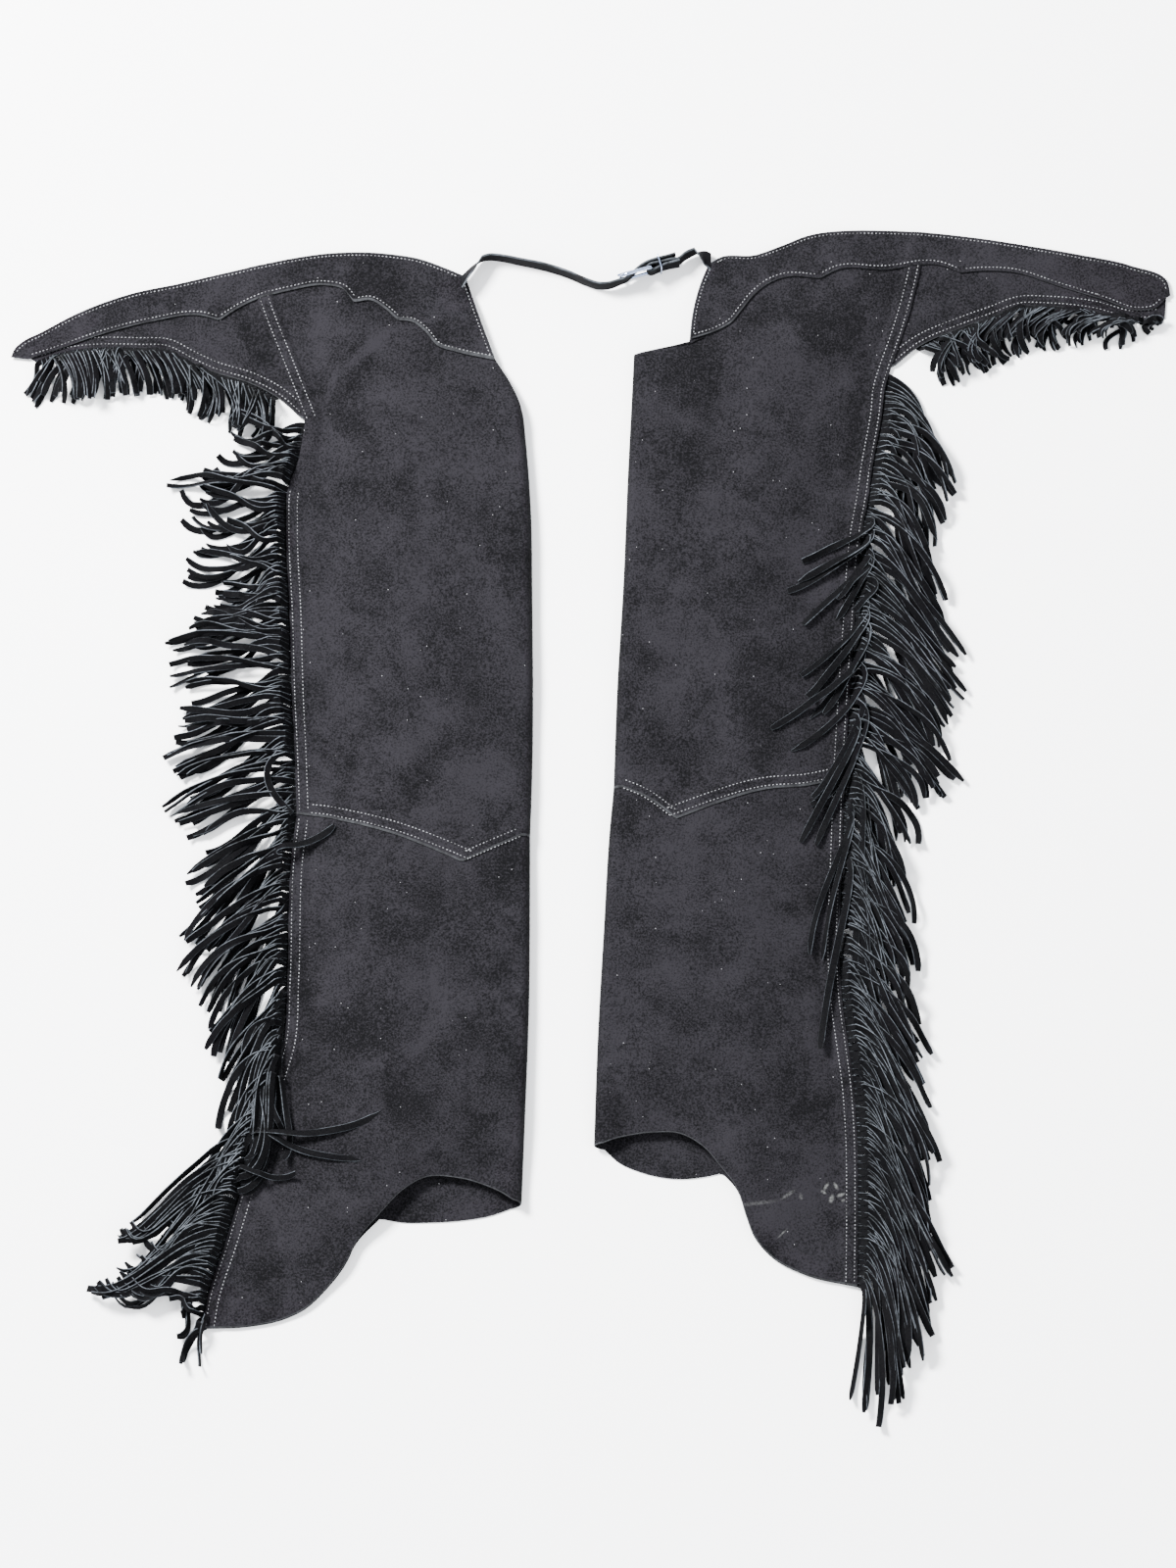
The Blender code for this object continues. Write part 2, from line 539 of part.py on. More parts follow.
def buckle_point(along, out, up):
    """A point of the buckle: up is measured across it from the strap's middle line."""
    lift, lean = belt_stand(BUCKLE_AT[0])
    flat = from_buckle(along, 0.0)
    across = np.array((0.0, -math.sin(lean), math.cos(lean)))
    facing = np.array((-math.sin(BUCKLE_SWING), math.cos(BUCKLE_SWING) * math.cos(lean), math.sin(lean)))
    middle = np.array((*flat, lift)) + across * STRAP_WIDTH / 2
    return middle + across * up + facing * out


def make_buckle():
    """Wire frame, straight at the heel and rounded at the far end, and a prong that rests on it."""
    along, high = HEEL_ALONG, BUCKLE_HIGH / 2 - BUCKLE_WIRE
    ring = []
    for k in range(32):
        c, s = math.cos(2 * math.pi * k / 32), math.sin(2 * math.pi * k / 32)
        roundness = 0.25 if c > 0 else 0.6
        ring.append(buckle_point(along * math.copysign(abs(c) ** roundness, c), 0.0,
                                 high * math.copysign(abs(s) ** roundness, s)))
    wire("buckle_frame", ring, BUCKLE_WIRE, closed=True)
    wire("buckle_prong", prong_route(), PRONG_WIRE)


def make_keeper():
    """Wire loop that holds the billet's end and both layers of the buckle strap together."""
    low, high = -KEEPER_ROOM, STRAP_WIDTH + KEEPER_ROOM
    corners = [(KEEPER_IN, low), (KEEPER_OUT, low), (KEEPER_OUT, high), (KEEPER_IN, high)]
    ring = []
    for (out, up), (next_out, next_up) in zip(corners, corners[1:] + corners[:1]):
        for t in (0.06, 0.5, 0.94):
            ring.append(belt_point(from_buckle(KEEPER_ALONG, out + t * (next_out - out)),
                                   up + t * (next_up - up)))
    wire("belt_keeper", ring, KEEPER_WIRE, closed=True, sides=8)


def prong_route():
    """From the heel bar, up through the billet's hole, to rest on the frame."""
    return [buckle_point(HEEL_ALONG - 5.6, 1.2, 0), buckle_point(4.0, 2.6, 0), buckle_point(-3.0, 3.6, 0),
            buckle_point(-10.0, 3.6, 0), buckle_point(-BUCKLE_LONG / 2 - 0.5, 3.3, 0)]


def as_cutter(guide):
    guide.hide_render = True
    guide.display_type = 'WIRE'


def make_belt():
    """Billet strap from the left yoke, through the buckle; buckle strap from the right yoke, turned back."""
    free = smooth_line(graded(BILLET_FREE) + [from_buckle(*p) for p in BILLET_THROUGH], 46)
    billet = strap("belt_billet", free)
    held = smooth_line(graded(BUCKLE_STRAP_FREE) + [from_buckle(*p) for p in BUCKLE_STRAP_HELD], 20)
    bend = [from_buckle(HEEL_ALONG - HEEL_TURN * math.sin(a), HEEL_TURN * math.cos(a))
            for a in np.linspace(0, math.pi, 7)[1:-1]]
    back = smooth_line([from_buckle(*p) for p in BUCKLE_STRAP_RETURN], 6)
    strap("belt_buckle_strap", list(held) + bend + list(back))
    hole = wire("prong_hole", prong_route(), PRONG_WIRE + 0.8)
    as_cutter(hole)
    cut = billet.modifiers.new("Prong hole", 'BOOLEAN')
    cut.operation = 'DIFFERENCE'
    cut.solver = 'EXACT'
    cut.object = hole


def main():
    for made in list(bpy.data.objects):
        bpy.data.objects.remove(made)
    for leg in (Leg("left", LEFT, LEFT_HEIGHTS, 1), Leg("right", RIGHT, RIGHT_HEIGHTS, -1)):
        make_thigh(leg)
        make_calf(leg)
        make_hip(leg)
        make_yoke(leg)
        make_side_fringe(leg)
        make_hip_fringe(leg)
        make_turned_fringe(leg)
    make_buckle()
    make_keeper()
    make_belt()


main()
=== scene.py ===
"""Fringed western chaps in black suede, laid flat with the fronts up and the front belt buckled.

The frame is the part's own: metres, +Z up, +Y from the hems to the waist, left_ at -X. The tables are in
millimetres in that plan, with y drawn for a side of NOMINAL_SIDE and graded to SIDE_LENGTH.
"""

import math

import bpy
import numpy as np
from bpy.props import FloatProperty, FloatVectorProperty, IntProperty, PointerProperty
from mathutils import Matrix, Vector


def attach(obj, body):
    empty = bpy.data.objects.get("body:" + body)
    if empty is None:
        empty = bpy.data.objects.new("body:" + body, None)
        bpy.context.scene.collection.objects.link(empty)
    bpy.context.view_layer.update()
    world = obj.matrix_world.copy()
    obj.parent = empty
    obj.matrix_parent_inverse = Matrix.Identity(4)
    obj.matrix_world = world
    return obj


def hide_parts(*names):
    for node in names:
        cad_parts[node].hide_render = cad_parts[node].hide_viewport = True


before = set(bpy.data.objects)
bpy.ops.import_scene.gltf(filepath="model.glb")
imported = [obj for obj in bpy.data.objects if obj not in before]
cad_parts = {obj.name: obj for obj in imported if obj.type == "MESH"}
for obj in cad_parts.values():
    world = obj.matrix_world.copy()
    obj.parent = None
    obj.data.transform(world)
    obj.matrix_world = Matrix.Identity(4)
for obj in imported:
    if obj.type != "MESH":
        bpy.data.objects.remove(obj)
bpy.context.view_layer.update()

bl_info = {
    "name": "Fringed Western Chaps",
    "version": (1, 0, 0),
    "blender": (4, 5, 0),
    "location": "3D View > Sidebar > Chaps",
    "description": "Builds a pair of fringed suede chaps, laid flat and buckled",
    "category": "Object",
}

MM = 0.001
SIDE_LENGTH = 1.133          # waist to heel along the outer seam
NOMINAL_SIDE = 1.100
GRADE = SIDE_LENGTH / NOMINAL_SIDE
HEADING = 4.0                # how far a strip's root is followed inside the seam
LAP = 1.6                    # a lapped seam stands this far above the panel under it
YOKE_ABOVE = 2.6             # the yoke's face above the panels' faces
SEAM_BAND = 14.0             # width of the stitched band along a seam
EDGE_DROP = 0.45             # how far a cut edge is rounded down
UNDER = 4.0                  # how far a lapped panel runs on under the other one
ROLLED_TO = 350.0            # y down to which the left side seam's stitches are rolled under

LEATHER = 1.5                # thickness of the panels
STRAP_WIDTH = 18.5
STRAP_THICK = 2.2
STRAP_BEVEL = 0.5            # worn corners of a strap
BUCKLE_AT = (46.0, 568.0)    # plan point of the buckle's middle
BUCKLE_SWING = math.radians(16)
BUCKLE_LONG = 36.0
BUCKLE_HIGH = 30.0
BUCKLE_WIRE = 1.7            # radius of the frame's wire
HEEL_ALONG = BUCKLE_LONG / 2 - BUCKLE_WIRE
HEEL_TURN = 3.5              # radius of the strap's turn round the heel bar
PRONG_WIRE = 1.2
# The prong's route: along the buckle, out of its face, up from its middle
PRONG = [(HEEL_ALONG - 5.6, 1.2, 0), (4.0, 2.6, 0), (-3.0, 3.6, 0), (-10.0, 3.6, 0),
         (-BUCKLE_LONG / 2 - 0.5, 3.3, 0)]
# The keeper: where it stands along the buckle, its reach in and out, its room above and below, its wire
KEEPER_ALONG, KEEPER_IN, KEEPER_OUT, KEEPER_ROOM, KEEPER_WIRE = 26.0, -5.0, 10.0, 1.8, 0.8

# Edges of each leg's pieces, as (x, y) points that a smooth line passes through. An edge with corners
# is a list of such lines. Every edge runs from the side seam or wing tip towards the front, or downwards.
LEFT = {
    "waist": [(-595, 484), (-591, 493), (-582, 501), (-566, 509), (-526, 530), (-475, 549), (-424, 560),
              (-373, 572), (-297, 588), (-259, 592), (-203, 590), (-178, 586), (-150, 576), (-129, 567)],
    "yoke_lower": [[(-577, 482), (-552, 490), (-501, 508), (-450, 521), (-399, 527), (-381, 522)],
                   [(-381, 522), (-363, 534), (-343, 544), (-310, 553), (-271, 558), (-254, 554),
                    (-243, 540)],
                   [(-243, 540), (-225, 542), (-213, 535), (-198, 521)],
                   [(-198, 521), (-183, 519), (-170, 509), (-157, 494), (-139, 488), (-98, 479)]],
    "front_end": [[(-129, 567), (-115, 526), (-98, 480)], [(-98, 480), (-83, 456), (-73, 435), (-69, 420)]],
    "hip_seam": [(-352, 576), (-342, 542), (-318, 480), (-293, 417)],
    "hip_lower": [(-570, 480), (-544, 489), (-460, 494), (-436, 493), (-412, 481), (-391, 471), (-348, 457),
                  (-322, 443), (-293, 417)],
    "side": [(-293, 417), (-300, 377), (-311, 345), (-312, 312), (-308, 217), (-305, 127), (-303, 90),
             (-300, 15)],
    "side_low": [(-300, 15), (-305, -25), (-309, -153), (-313, -219), (-323, -253), (-344, -330),
                 (-371, -420), (-389, -477), (-394, -507)],
    "inner": [(-69, 420), (-64, 366), (-61, 315), (-60, 247), (-60, 47), (-62, -10)],
    "inner_low": [(-62, -10), (-62, -53), (-63, -193), (-66, -286), (-69, -379)],
    "knee": [[(-300, 15), (-281, 13), (-243, 5), (-204, -6), (-153, -25), (-125, -37)],
             [(-125, -37), (-62, -10)]],
    "hem_front": [[(-394, -507), (-348, -505), (-313, -498), (-291, -488), (-268, -467), (-247, -440),
                   (-238, -422), (-212, -393)],
                  [(-212, -393), (-188, -369), (-163, -355), (-127, -356), (-86, -369), (-69, -379)]],
    "hem_back": [[(-394, -507), (-348, -505), (-313, -498), (-291, -488), (-268, -467), (-247, -440),
                  (-238, -422), (-212, -395)],
                 [(-212, -395), (-188, -399), (-163, -399), (-127, -397), (-94, -392), (-72, -385)]],
}
RIGHT = {
    "waist": [(595, 548), (592, 562), (554, 579), (503, 590), (452, 599), (401, 607), (312, 615),
              (273, 615), (222, 609), (197, 599), (169, 589), (134, 587), (121, 579)],
    "yoke_lower": [[(590, 545), (580, 535), (559, 532), (529, 542), (478, 558), (432, 572), (401, 573),
                    (379, 571)],
                   [(379, 571), (358, 579), (299, 574), (252, 573), (235, 564)],
                   [(235, 564), (197, 565), (182, 559), (167, 547), (154, 530), (144, 517), (131, 509),
                    (102, 499)]],
    "front_end": [[(121, 579), (113, 560), (104, 525), (101, 497)], [(101, 497), (44, 485)]],
    "hip_seam": [(344, 606), (339, 578), (319, 504), (307, 471)],
    "hip_lower": [(589, 524), (554, 522), (516, 532), (467, 537), (442, 537), (414, 527), (386, 517),
                  (335, 494), (307, 471)],
    "side": [(307, 471), (301, 450), (299, 430), (288, 367), (284, 339), (278, 307), (269, 202),
             (259, 53)],
    "side_low": [(259, 53), (257, -3), (255, -53), (253, -131), (256, -179), (261, -215), (267, -261),
                 (270, -303), (271, -387), (270, -465)],
    "inner": [(44, 485), (42, 443), (38, 366), (33, 247), (27, 147), (23, 39)],
    "inner_low": [(23, 39), (19, -3), (13, -103), (7, -203), (2, -321)],
    "knee": [[(259, 53), (219, 43), (177, 38), (130, 25), (80, 7)], [(80, 7), (52, 27), (23, 39)]],
    "hem_front": [[(270, -465), (218, -453), (181, -433), (165, -414), (157, -394), (146, -365),
                   (131, -347)],
                  [(131, -347), (112, -326), (85, -311), (55, -310), (24, -314), (2, -321)]],
    "hem_back": [[(270, -465), (218, -453), (181, -433), (165, -414), (157, -394), (146, -365),
                  (131, -349)],
                 [(131, -349), (112, -353), (91, -355), (44, -348), (18, -337), (4, -325)]],
}
# How high a leg's upper face lies: y, at the side seam, at the crown
LEFT_HEIGHTS = [(592, 1.9, 3.5), (500, 3.0, 9.0), (417, 4.9, 18.0), (200, 4.9, 20.0), (-15, 4.9, 18.0),
                (-250, 4.9, 19.0), (-380, 4.9, 20.0), (-425, 4.9, 12.0), (-510, 4.9, 5.2)]
RIGHT_HEIGHTS = [(615, 1.9, 3.5), (560, 3.0, 9.0), (485, 4.9, 18.0), (200, 4.9, 20.0), (30, 4.9, 18.0),
                 (-200, 4.9, 19.0), (-325, 4.9, 20.0), (-380, 4.9, 12.0), (-470, 4.9, 5.2)]
CROWN_STARTS = 0.5           # share of the leg's width that the rise from the side seam takes
WING_SETTLES = 70.0          # distance from the hip seam over which the hip panel comes down to the ground

# How the belt stands on its edge: x, lift of its lower edge, lean from upright in degrees
BELT_STAND = [(-134, 7.2, 60), (-126, 6.0, 37), (-119, 3.8, 27), (-112, 1.6, 0), (-104, 0.4, -4),
              (-94, 0.0, -5), (-50, 0.0, -8), (-12, 0.0, -7), (22, 3.6, -6), (46, 5.9, 4), (75, 4.4, -4),
              (98, 2.4, -10), (106, 3.4, -6), (112, 5.0, 30), (117, 6.6, 66), (124, 7.4, 80)]
# Routes of the belt's middle line in plan; (along, out) points are measured from the buckle's middle
BILLET_FREE = [(-132, 567), (-126, 573), (-119, 579.5), (-112, 584), (-104, 585.5), (-96, 585), (-73, 580.5),
               (-50, 575.5), (-24, 567.5), (-4, 559), (8, 555)]
BILLET_THROUGH = [(-30, -5.2), (-18, -4.4), (-12, -3.8), (-5, -0.8), (3, 4.0), (11, 6.6), (17, 7.2),
                  (24, 7.0), (32, 6.2), (44, 5.6)]
BUCKLE_STRAP_FREE = [(123, 590), (118, 592.5), (111, 592), (103, 588.5), (96, 584.5), (90, 580)]
BUCKLE_STRAP_HELD = [(38, 1.4), (30, 2.0), (22, 3.0), (16.3, 3.5)]
BUCKLE_STRAP_RETURN = [(16.3, -3.5), (22, -2.8), (30, -1.8), (38, -2.0), (46, -2.6)]

# How straight folds lie in each leg: x and y of both ends, depth (a ridge is below zero), half width
LEFT_FOLDS = [(-289, 70, -286, -60, 1.9, 10), (-286, -60, -291, -150, 1.5, 9),
              (-287, 427, -225, 500, -1.3, 16), (-262, 426, -205, 505, 1.2, 14),
              (-366, 557, -374, 540, 1.6, 9), (-260, -219, -254, -267, 1.6, 9),
              (-225, 420, -150, 330, 0.9, 24), (-200, 250, -235, 60, 0.8, 30),
              (-130, 140, -115, -20, -0.8, 28), (-118, 440, -100, 300, 1.0, 18),
              (-150, -90, -170, -260, 0.9, 26), (-240, -300, -190, -360, -0.9, 20),
              (-192, -372, -128, -350, 7.5, 34), (-124, -350, -84, -366, 6.0, 30)]
RIGHT_FOLDS = [(291, 494, 309, 466, 2.2, 7), (101, 497, 129, 500, 1.3, 6), (129, 500, 164, 504, 1.3, 6),
               (159, -396, 202, -359, 1.5, 8), (39, 380, 58, 376, 1.2, 6), (38, 332, 58, 328, 1.2, 6),
               (230, 380, 215, 230, 0.9, 22), (120, 420, 150, 300, 0.8, 28), (70, 230, 80, 90, -0.9, 24),
               (200, 20, 190, -140, 0.9, 26), (60, -60, 90, -220, -0.8, 26), (180, 440, 150, 480, -1.0, 16),
               (114, -326, 58, -306, 7.5, 34), (54, -305, 20, -314, 6.0, 30)]

# Which roots of the side fringe fall together: y of the highest and lowest root, x and y where their tips
# lie, the way the tips point in degrees from +X, how far the tips fan out, how far the strips stick out
LEFT_SIDE_TUFTS = [(417, 396, -372, 424, 140, 12, 24), (396, 376, -377, 389, 138, 14, 26),
                   (376, 352, -403, 362, 118, 18, 34), (352, 338, -436, 355, 180, 4, 40),
                   (338, 306, -405, 326, 122, 14, 36), (306, 272, -417, 272, 155, 16, 26),
                   (272, 242, -386, 238, 172, 14, 22), (242, 207, -409, 214, 160, 12, 26),
                   (207, 182, -436, 190, 186, 9, 36), (182, 157, -433, 152, 196, 12, 30),
                   (157, 118, -427, 104, 182, 16, 30), (118, 85, -434, 62, 206, 12, 30),
                   (85, 57, -435, 13, 210, 10, 24), (57, 32, -424, -4, 206, 12, 22),
                   (32, -3, -412, -62, 202, 20, 20), (-3, -43, -408, -121, 230, 16, 20),
                   (-43, -83, -413, -158, 230, 16, 18), (-83, -123, -384, -190, 250, 14, 18),
                   (-123, -158, -378, -236, 255, 12, 16), (-158, -203, -358, -292, 262, 12, 16),
                   (-203, -263, -352, -340, 262, 14, 16), (-263, -313, -400, -367, 118, 16, 22),
                   (-313, -383, -484, -404, 110, 22, 40), (-383, -443, -517, -464, 145, 10, 40),
                   (-443, -483, -486, -455, 120, 14, 44), (-483, -507, -405, -545, 262, 10, 8)]
RIGHT_SIDE_TUFTS = [(468, 432, 360, 345, 285, 14, 30), (432, 392, 364, 330, 300, 12, 30),
                    (392, 352, 338, 282, 272, 16, 26), (352, 317, 358, 229, 300, 8, 26),
                    (317, 272, 376, 164, 304, 12, 30), (272, 232, 380, 127, 310, 8, 28),
                    (232, 197, 373, 109, 310, 8, 26), (197, 157, 348, 79, 284, 12, 24),
                    (157, 117, 369, 37, 310, 12, 26), (117, 77, 327, 17, 280, 14, 22),
                    (77, 17, 304, -62, 268, 14, 20), (17, -43, 320, -145, 294, 12, 22),
                    (-43, -103, 302, -170, 270, 14, 20), (-103, -153, 335, -242, 300, 10, 24),
                    (-153, -193, 334, -300, 296, 10, 24), (-193, -243, 341, -345, 290, 10, 26),
                    (-243, -293, 329, -420, 276, 12, 26), (-293, -343, 361, -471, 300, 12, 28),
                    (-343, -383, 331, -518, 276, 14, 28), (-383, -403, 346, -558, 300, 5, 30),
                    (-403, -428, 316, -560, 276, 10, 26), (-428, -446, 306, -608, 270, 9, 24),
                    (-446, -458, 288, -606, 268, 9, 22), (-458, -465, 264, -580, 248, 7, 14)]
# The same for the hip fringe, by the x of the roots
LEFT_HIP_TUFTS = [(-566, -545, -581, 432, 232, 8, 8), (-545, -512, -553, 430, 250, 12, 8),
                  (-512, -484, -516, 437, 262, 10, 8), (-484, -446, -470, 444, 268, 14, 10),
                  (-446, -414, -424, 424, 252, 8, 10), (-414, -380, -404, 414, 240, 12, 12),
                  (-380, -350, -372, 396, 244, 12, 12), (-350, -322, -356, 400, 230, 12, 12)]
RIGHT_HIP_TUFTS = [(586, 560, 584, 508, 300, 8, 8), (560, 530, 549, 492, 290, 8, 8),
                   (530, 498, 512, 498, 300, 8, 10), (498, 466, 478, 489, 312, 12, 10),
                   (466, 436, 452, 484, 318, 10, 12), (436, 404, 428, 478, 320, 10, 12),
                   (404, 370, 404, 466, 310, 10, 12), (370, 334, 374, 455, 300, 10, 12)]
# Strips that lie turned back over the leg: y of the root, x and y of the tip, the way the tip points in
# degrees, how far the strip swings out before it turns
LEFT_TURNED = [(82, -305, 14, 318, 34), (-33, -262, 3, 52, 34), (-190, -352, -232, 262, 20),
               (-226, -312, -308, 302, 16), (-244, -313, -338, 226, 12), (-305, -232, -338, 2, 28),
               (-318, -212, -289, 40, 30), (-352, -300, -352, 20, 24)]
RIGHT_TURNED = [(317, 216, 272, 200, 22), (308, 201, 241, 196, 24), (300, 212, 250, 206, 20),
                (292, 217, 206, 224, 22), (284, 250, 210, 232, 20), (276, 252, 232, 226, 18),
                (252, 268, 220, 206, 26), (236, 215, 154, 212, 24), (226, 221, 132, 226, 24),
                (214, 224, 111, 222, 26), (205, 237, 117, 226, 22), (186, 184, 99, 208, 26),
                (168, 205, 77, 202, 26), (140, 226, 30, 226, 22), (130, 224, 24, 196, 26),
                (118, 214, -15, 240, 22), (104, 230, -18, 246, 20), (30, 223, -130, 268, 20),
                (22, 235, -134, 262, 16), (-22, 233, -226, 262, 16), (60, 274, -98, 268, 18),
                (-60, 270, -196, 270, 14)]


def graded(points):
    return np.array([(x, y * GRADE) for x, y in points])


def sampled(points, shares):
    """Points at the given shares of the length of a smooth line through the given ones."""
    points = np.array(points, float)
    knots = np.concatenate([[0], np.cumsum(np.linalg.norm(np.diff(points, axis=0), axis=1))])
    if len(points) > 2:
        slopes = np.gradient(points, knots, axis=0)
        fine = []
        for i in range(len(points) - 1):
            span = knots[i + 1] - knots[i]
            for t in np.linspace(0, 1, 16, endpoint=False):
                fine.append((2 * t ** 3 - 3 * t ** 2 + 1) * points[i]
                            + (t ** 3 - 2 * t ** 2 + t) * span * slopes[i]
                            + (3 * t ** 2 - 2 * t ** 3) * points[i + 1] + (t ** 3 - t ** 2) * span * slopes[i + 1])
        points = np.array(fine + [points[-1]])
        knots = np.concatenate([[0], np.cumsum(np.linalg.norm(np.diff(points, axis=0), axis=1))])
    at = np.asarray(shares) * knots[-1]
    return np.stack([np.interp(at, knots, points[:, k]) for k in range(points.shape[1])], axis=1)


def joined(parts, shares):
    """Smooth lines that meet at corners, taken as one line and sampled at the given shares of its length."""
    lines = [sampled(part, np.linspace(0, 1, 60)) for part in parts]
    line = np.concatenate([lines[0]] + [more[1:] for more in lines[1:]])
    run = np.concatenate([[0], np.cumsum(np.linalg.norm(np.diff(line, axis=0), axis=1))])
    return np.stack([np.interp(np.asarray(shares) * run[-1], run, line[:, k]) for k in (0, 1)], axis=1)


def smoothstep(t):
    t = np.clip(t, 0, 1)
    return t * t * (3 - 2 * t)


def patch(top, bottom, first, last, across, down):
    """Grid of plan points between four edges: rows run down at the shares in down, columns at those in across."""
    u, v = across[None, :, None], down[:, None, None]
    corners = ((1 - u) * (1 - v) * top[0] + u * (1 - v) * top[-1] + (1 - u) * v * bottom[0] + u * v * bottom[-1])
    return (1 - v) * top[None] + v * bottom[None] + (1 - u) * first[:, None] + u * last[:, None] - corners


def distances(close, total, step, far=()):
    """Shares of a length: first at the close distances, then every step, then far distances before the end."""
    near = [d for d in close if d < total * 0.45]
    ends = [total - d for d in sorted(far, reverse=True) if d < total * 0.45]
    start, stop = near[-1], (ends[0] if ends else total)
    count = max(1, round((stop - start) / step))
    middle = list(np.linspace(start, stop, count + 1)[1:])
    return np.array(near + middle + (ends[1:] if ends else [])) / total


class Leg:
    """One leg: its edges in graded millimetres, and the height of its leather at any point."""

    def __init__(self, name, edges, heights, folds, inward):
        self.name, self.inward = name, inward
        self.edge = {key: [graded(part) for part in rows] if isinstance(rows[0], list) else graded(rows)
                     for key, rows in edges.items()}
        self.heights = np.array([(y * GRADE, seam, crown) for y, seam, crown in heights])
        self.folds = [(x0, y0 * GRADE, x1, y1 * GRADE, depth, wide) for x0, y0, x1, y1, depth, wide in folds]
        fine = np.linspace(0, 1, 60)
        outer = np.concatenate([sampled(self.edge[k], fine) for k in ("hip_seam", "side", "side_low")])
        inner = np.concatenate([joined(self.edge["front_end"], fine)]
                               + [sampled(self.edge[k], fine) for k in ("inner", "inner_low")])
        self.outer = outer[np.argsort(outer[:, 1])]
        self.inner = inner[np.argsort(inner[:, 1])]
        lower = sampled(self.edge["hip_lower"], fine)
        self.lower = lower[np.argsort(lower[:, 0])]
        knee = joined(self.edge["knee"], fine)
        self.knee = knee[np.argsort(knee[:, 0])]
        self.seam_end = self.edge["hip_seam"][-1][1]

    def side_x(self, y):
        return np.interp(y, self.outer[:, 1], self.outer[:, 0])

    def seam_and_crown(self, y):
        rows = self.heights[::-1]
        y = np.clip(y, rows[0, 0], rows[-1, 0])
        k = np.clip(np.searchsorted(rows[:, 0], y, side="right") - 1, 0, len(rows) - 2)
        t = smoothstep((y - rows[k, 0]) / (rows[k + 1, 0] - rows[k, 0]))
        return [rows[k, c] + t * (rows[k + 1, c] - rows[k, c]) for c in (1, 2)]

    def inside(self, x, y):
        """Distance in from the side seam, square to it."""
        slope = (self.side_x(y + 2) - self.side_x(y - 2)) / 4
        return (x - self.side_x(y)) * self.inward / np.sqrt(1 + slope ** 2)

    def above_knee(self, x, y):
        return y - np.interp(x, self.knee[:, 0], self.knee[:, 1])

    def height(self, x, y):
        """Upper face of the panels without folds, as in the part."""
        seam, crown = self.seam_and_crown(y)
        outer, inner = self.side_x(y), np.interp(y, self.inner[:, 1], self.inner[:, 0])
        share = (x - outer) / (inner - outer)
        on_hip = LEATHER + (seam - LEATHER) * np.exp(-((x - outer) / WING_SETTLES) ** 2)
        return np.where(share < 0, on_hip, seam + (crown - seam) * smoothstep(share / CROWN_STARTS))

    def relief(self, x, y):
        """Folds, the slight billows of laid leather, and the thick band and hollow beside the side seam."""
        total = np.zeros_like(x)
        for x0, y0, x1, y1, depth, wide in self.folds:
            way = np.array((x1 - x0, y1 - y0))
            t = np.clip(((x - x0) * way[0] + (y - y0) * way[1]) / way.dot(way), 0, 1)
            away = np.hypot(x - x0 - t * way[0], y - y0 - t * way[1])
            total -= depth * np.exp(-(away / wide) ** 2) * (0.55 + 0.45 * np.sin(math.pi * np.clip(t, 0.05, 0.95)))
        billow = np.zeros_like(x)
        for turn, length, phase, size in BILLOWS:
            a = math.radians(turn)
            billow += size * np.sin((x * math.cos(a) + y * math.sin(a)) * 2 * math.pi / length + phase)
        d = self.inside(x, y)
        total += billow * smoothstep((np.abs(d) - 14) / 40) * np.where(d < 0, 0.5, 1.0)
        total += np.where(d > 0, 0.7 * (1 - smoothstep((d - SEAM_BAND) / 4)), 0.0)
        total -= np.where(d > 0, 0.9 * np.exp(-((d - 20) / 6) ** 2), 0.0)
        return total

    def lap(self, x, y):
        """Rise of the thigh panel where it laps the calf and hip panels."""
        knee = 1 - smoothstep((self.above_knee(x, y) - SEAM_BAND) / 9)
        hip = (1 - smoothstep((self.inside(x, y) - SEAM_BAND) / 6)) * smoothstep((y - self.seam_end) / 12)
        return LAP * np.maximum(knee, hip)

    def face(self, x, y, lapped=False):
        """Height of the panels' upper face with its folds; lapped on the thigh panel."""
        x, y = np.asarray(x, float), np.asarray(y, float)
        z = self.height(x, y) + self.relief(x, y)
        return np.maximum(z + (self.lap(x, y) if lapped else 0.0), LEATHER + 0.2)

    def turn_radius(self, y):
        return self.seam_and_crown(y)[1] / 2

    def turned_in(self, edge):
        edge = np.array(edge)
        edge[:, 0] -= self.inward * self.turn_radius(edge[:, 1])
        return edge


# The billows of the laid leather: direction in degrees, length, phase, size
BILLOWS = [(12, 168, 0.4, 0.55), (71, 133, 1.9, 0.50), (118, 97, 4.1, 0.36), (38, 76, 2.7, 0.26),
           (155, 61, 5.2, 0.18), (92, 49, 0.9, 0.12), (20, 43, 3.3, 0.10)]


def legs():
    return (Leg("left", LEFT, LEFT_HEIGHTS, LEFT_FOLDS, 1), Leg("right", RIGHT, RIGHT_HEIGHTS, RIGHT_FOLDS, -1))


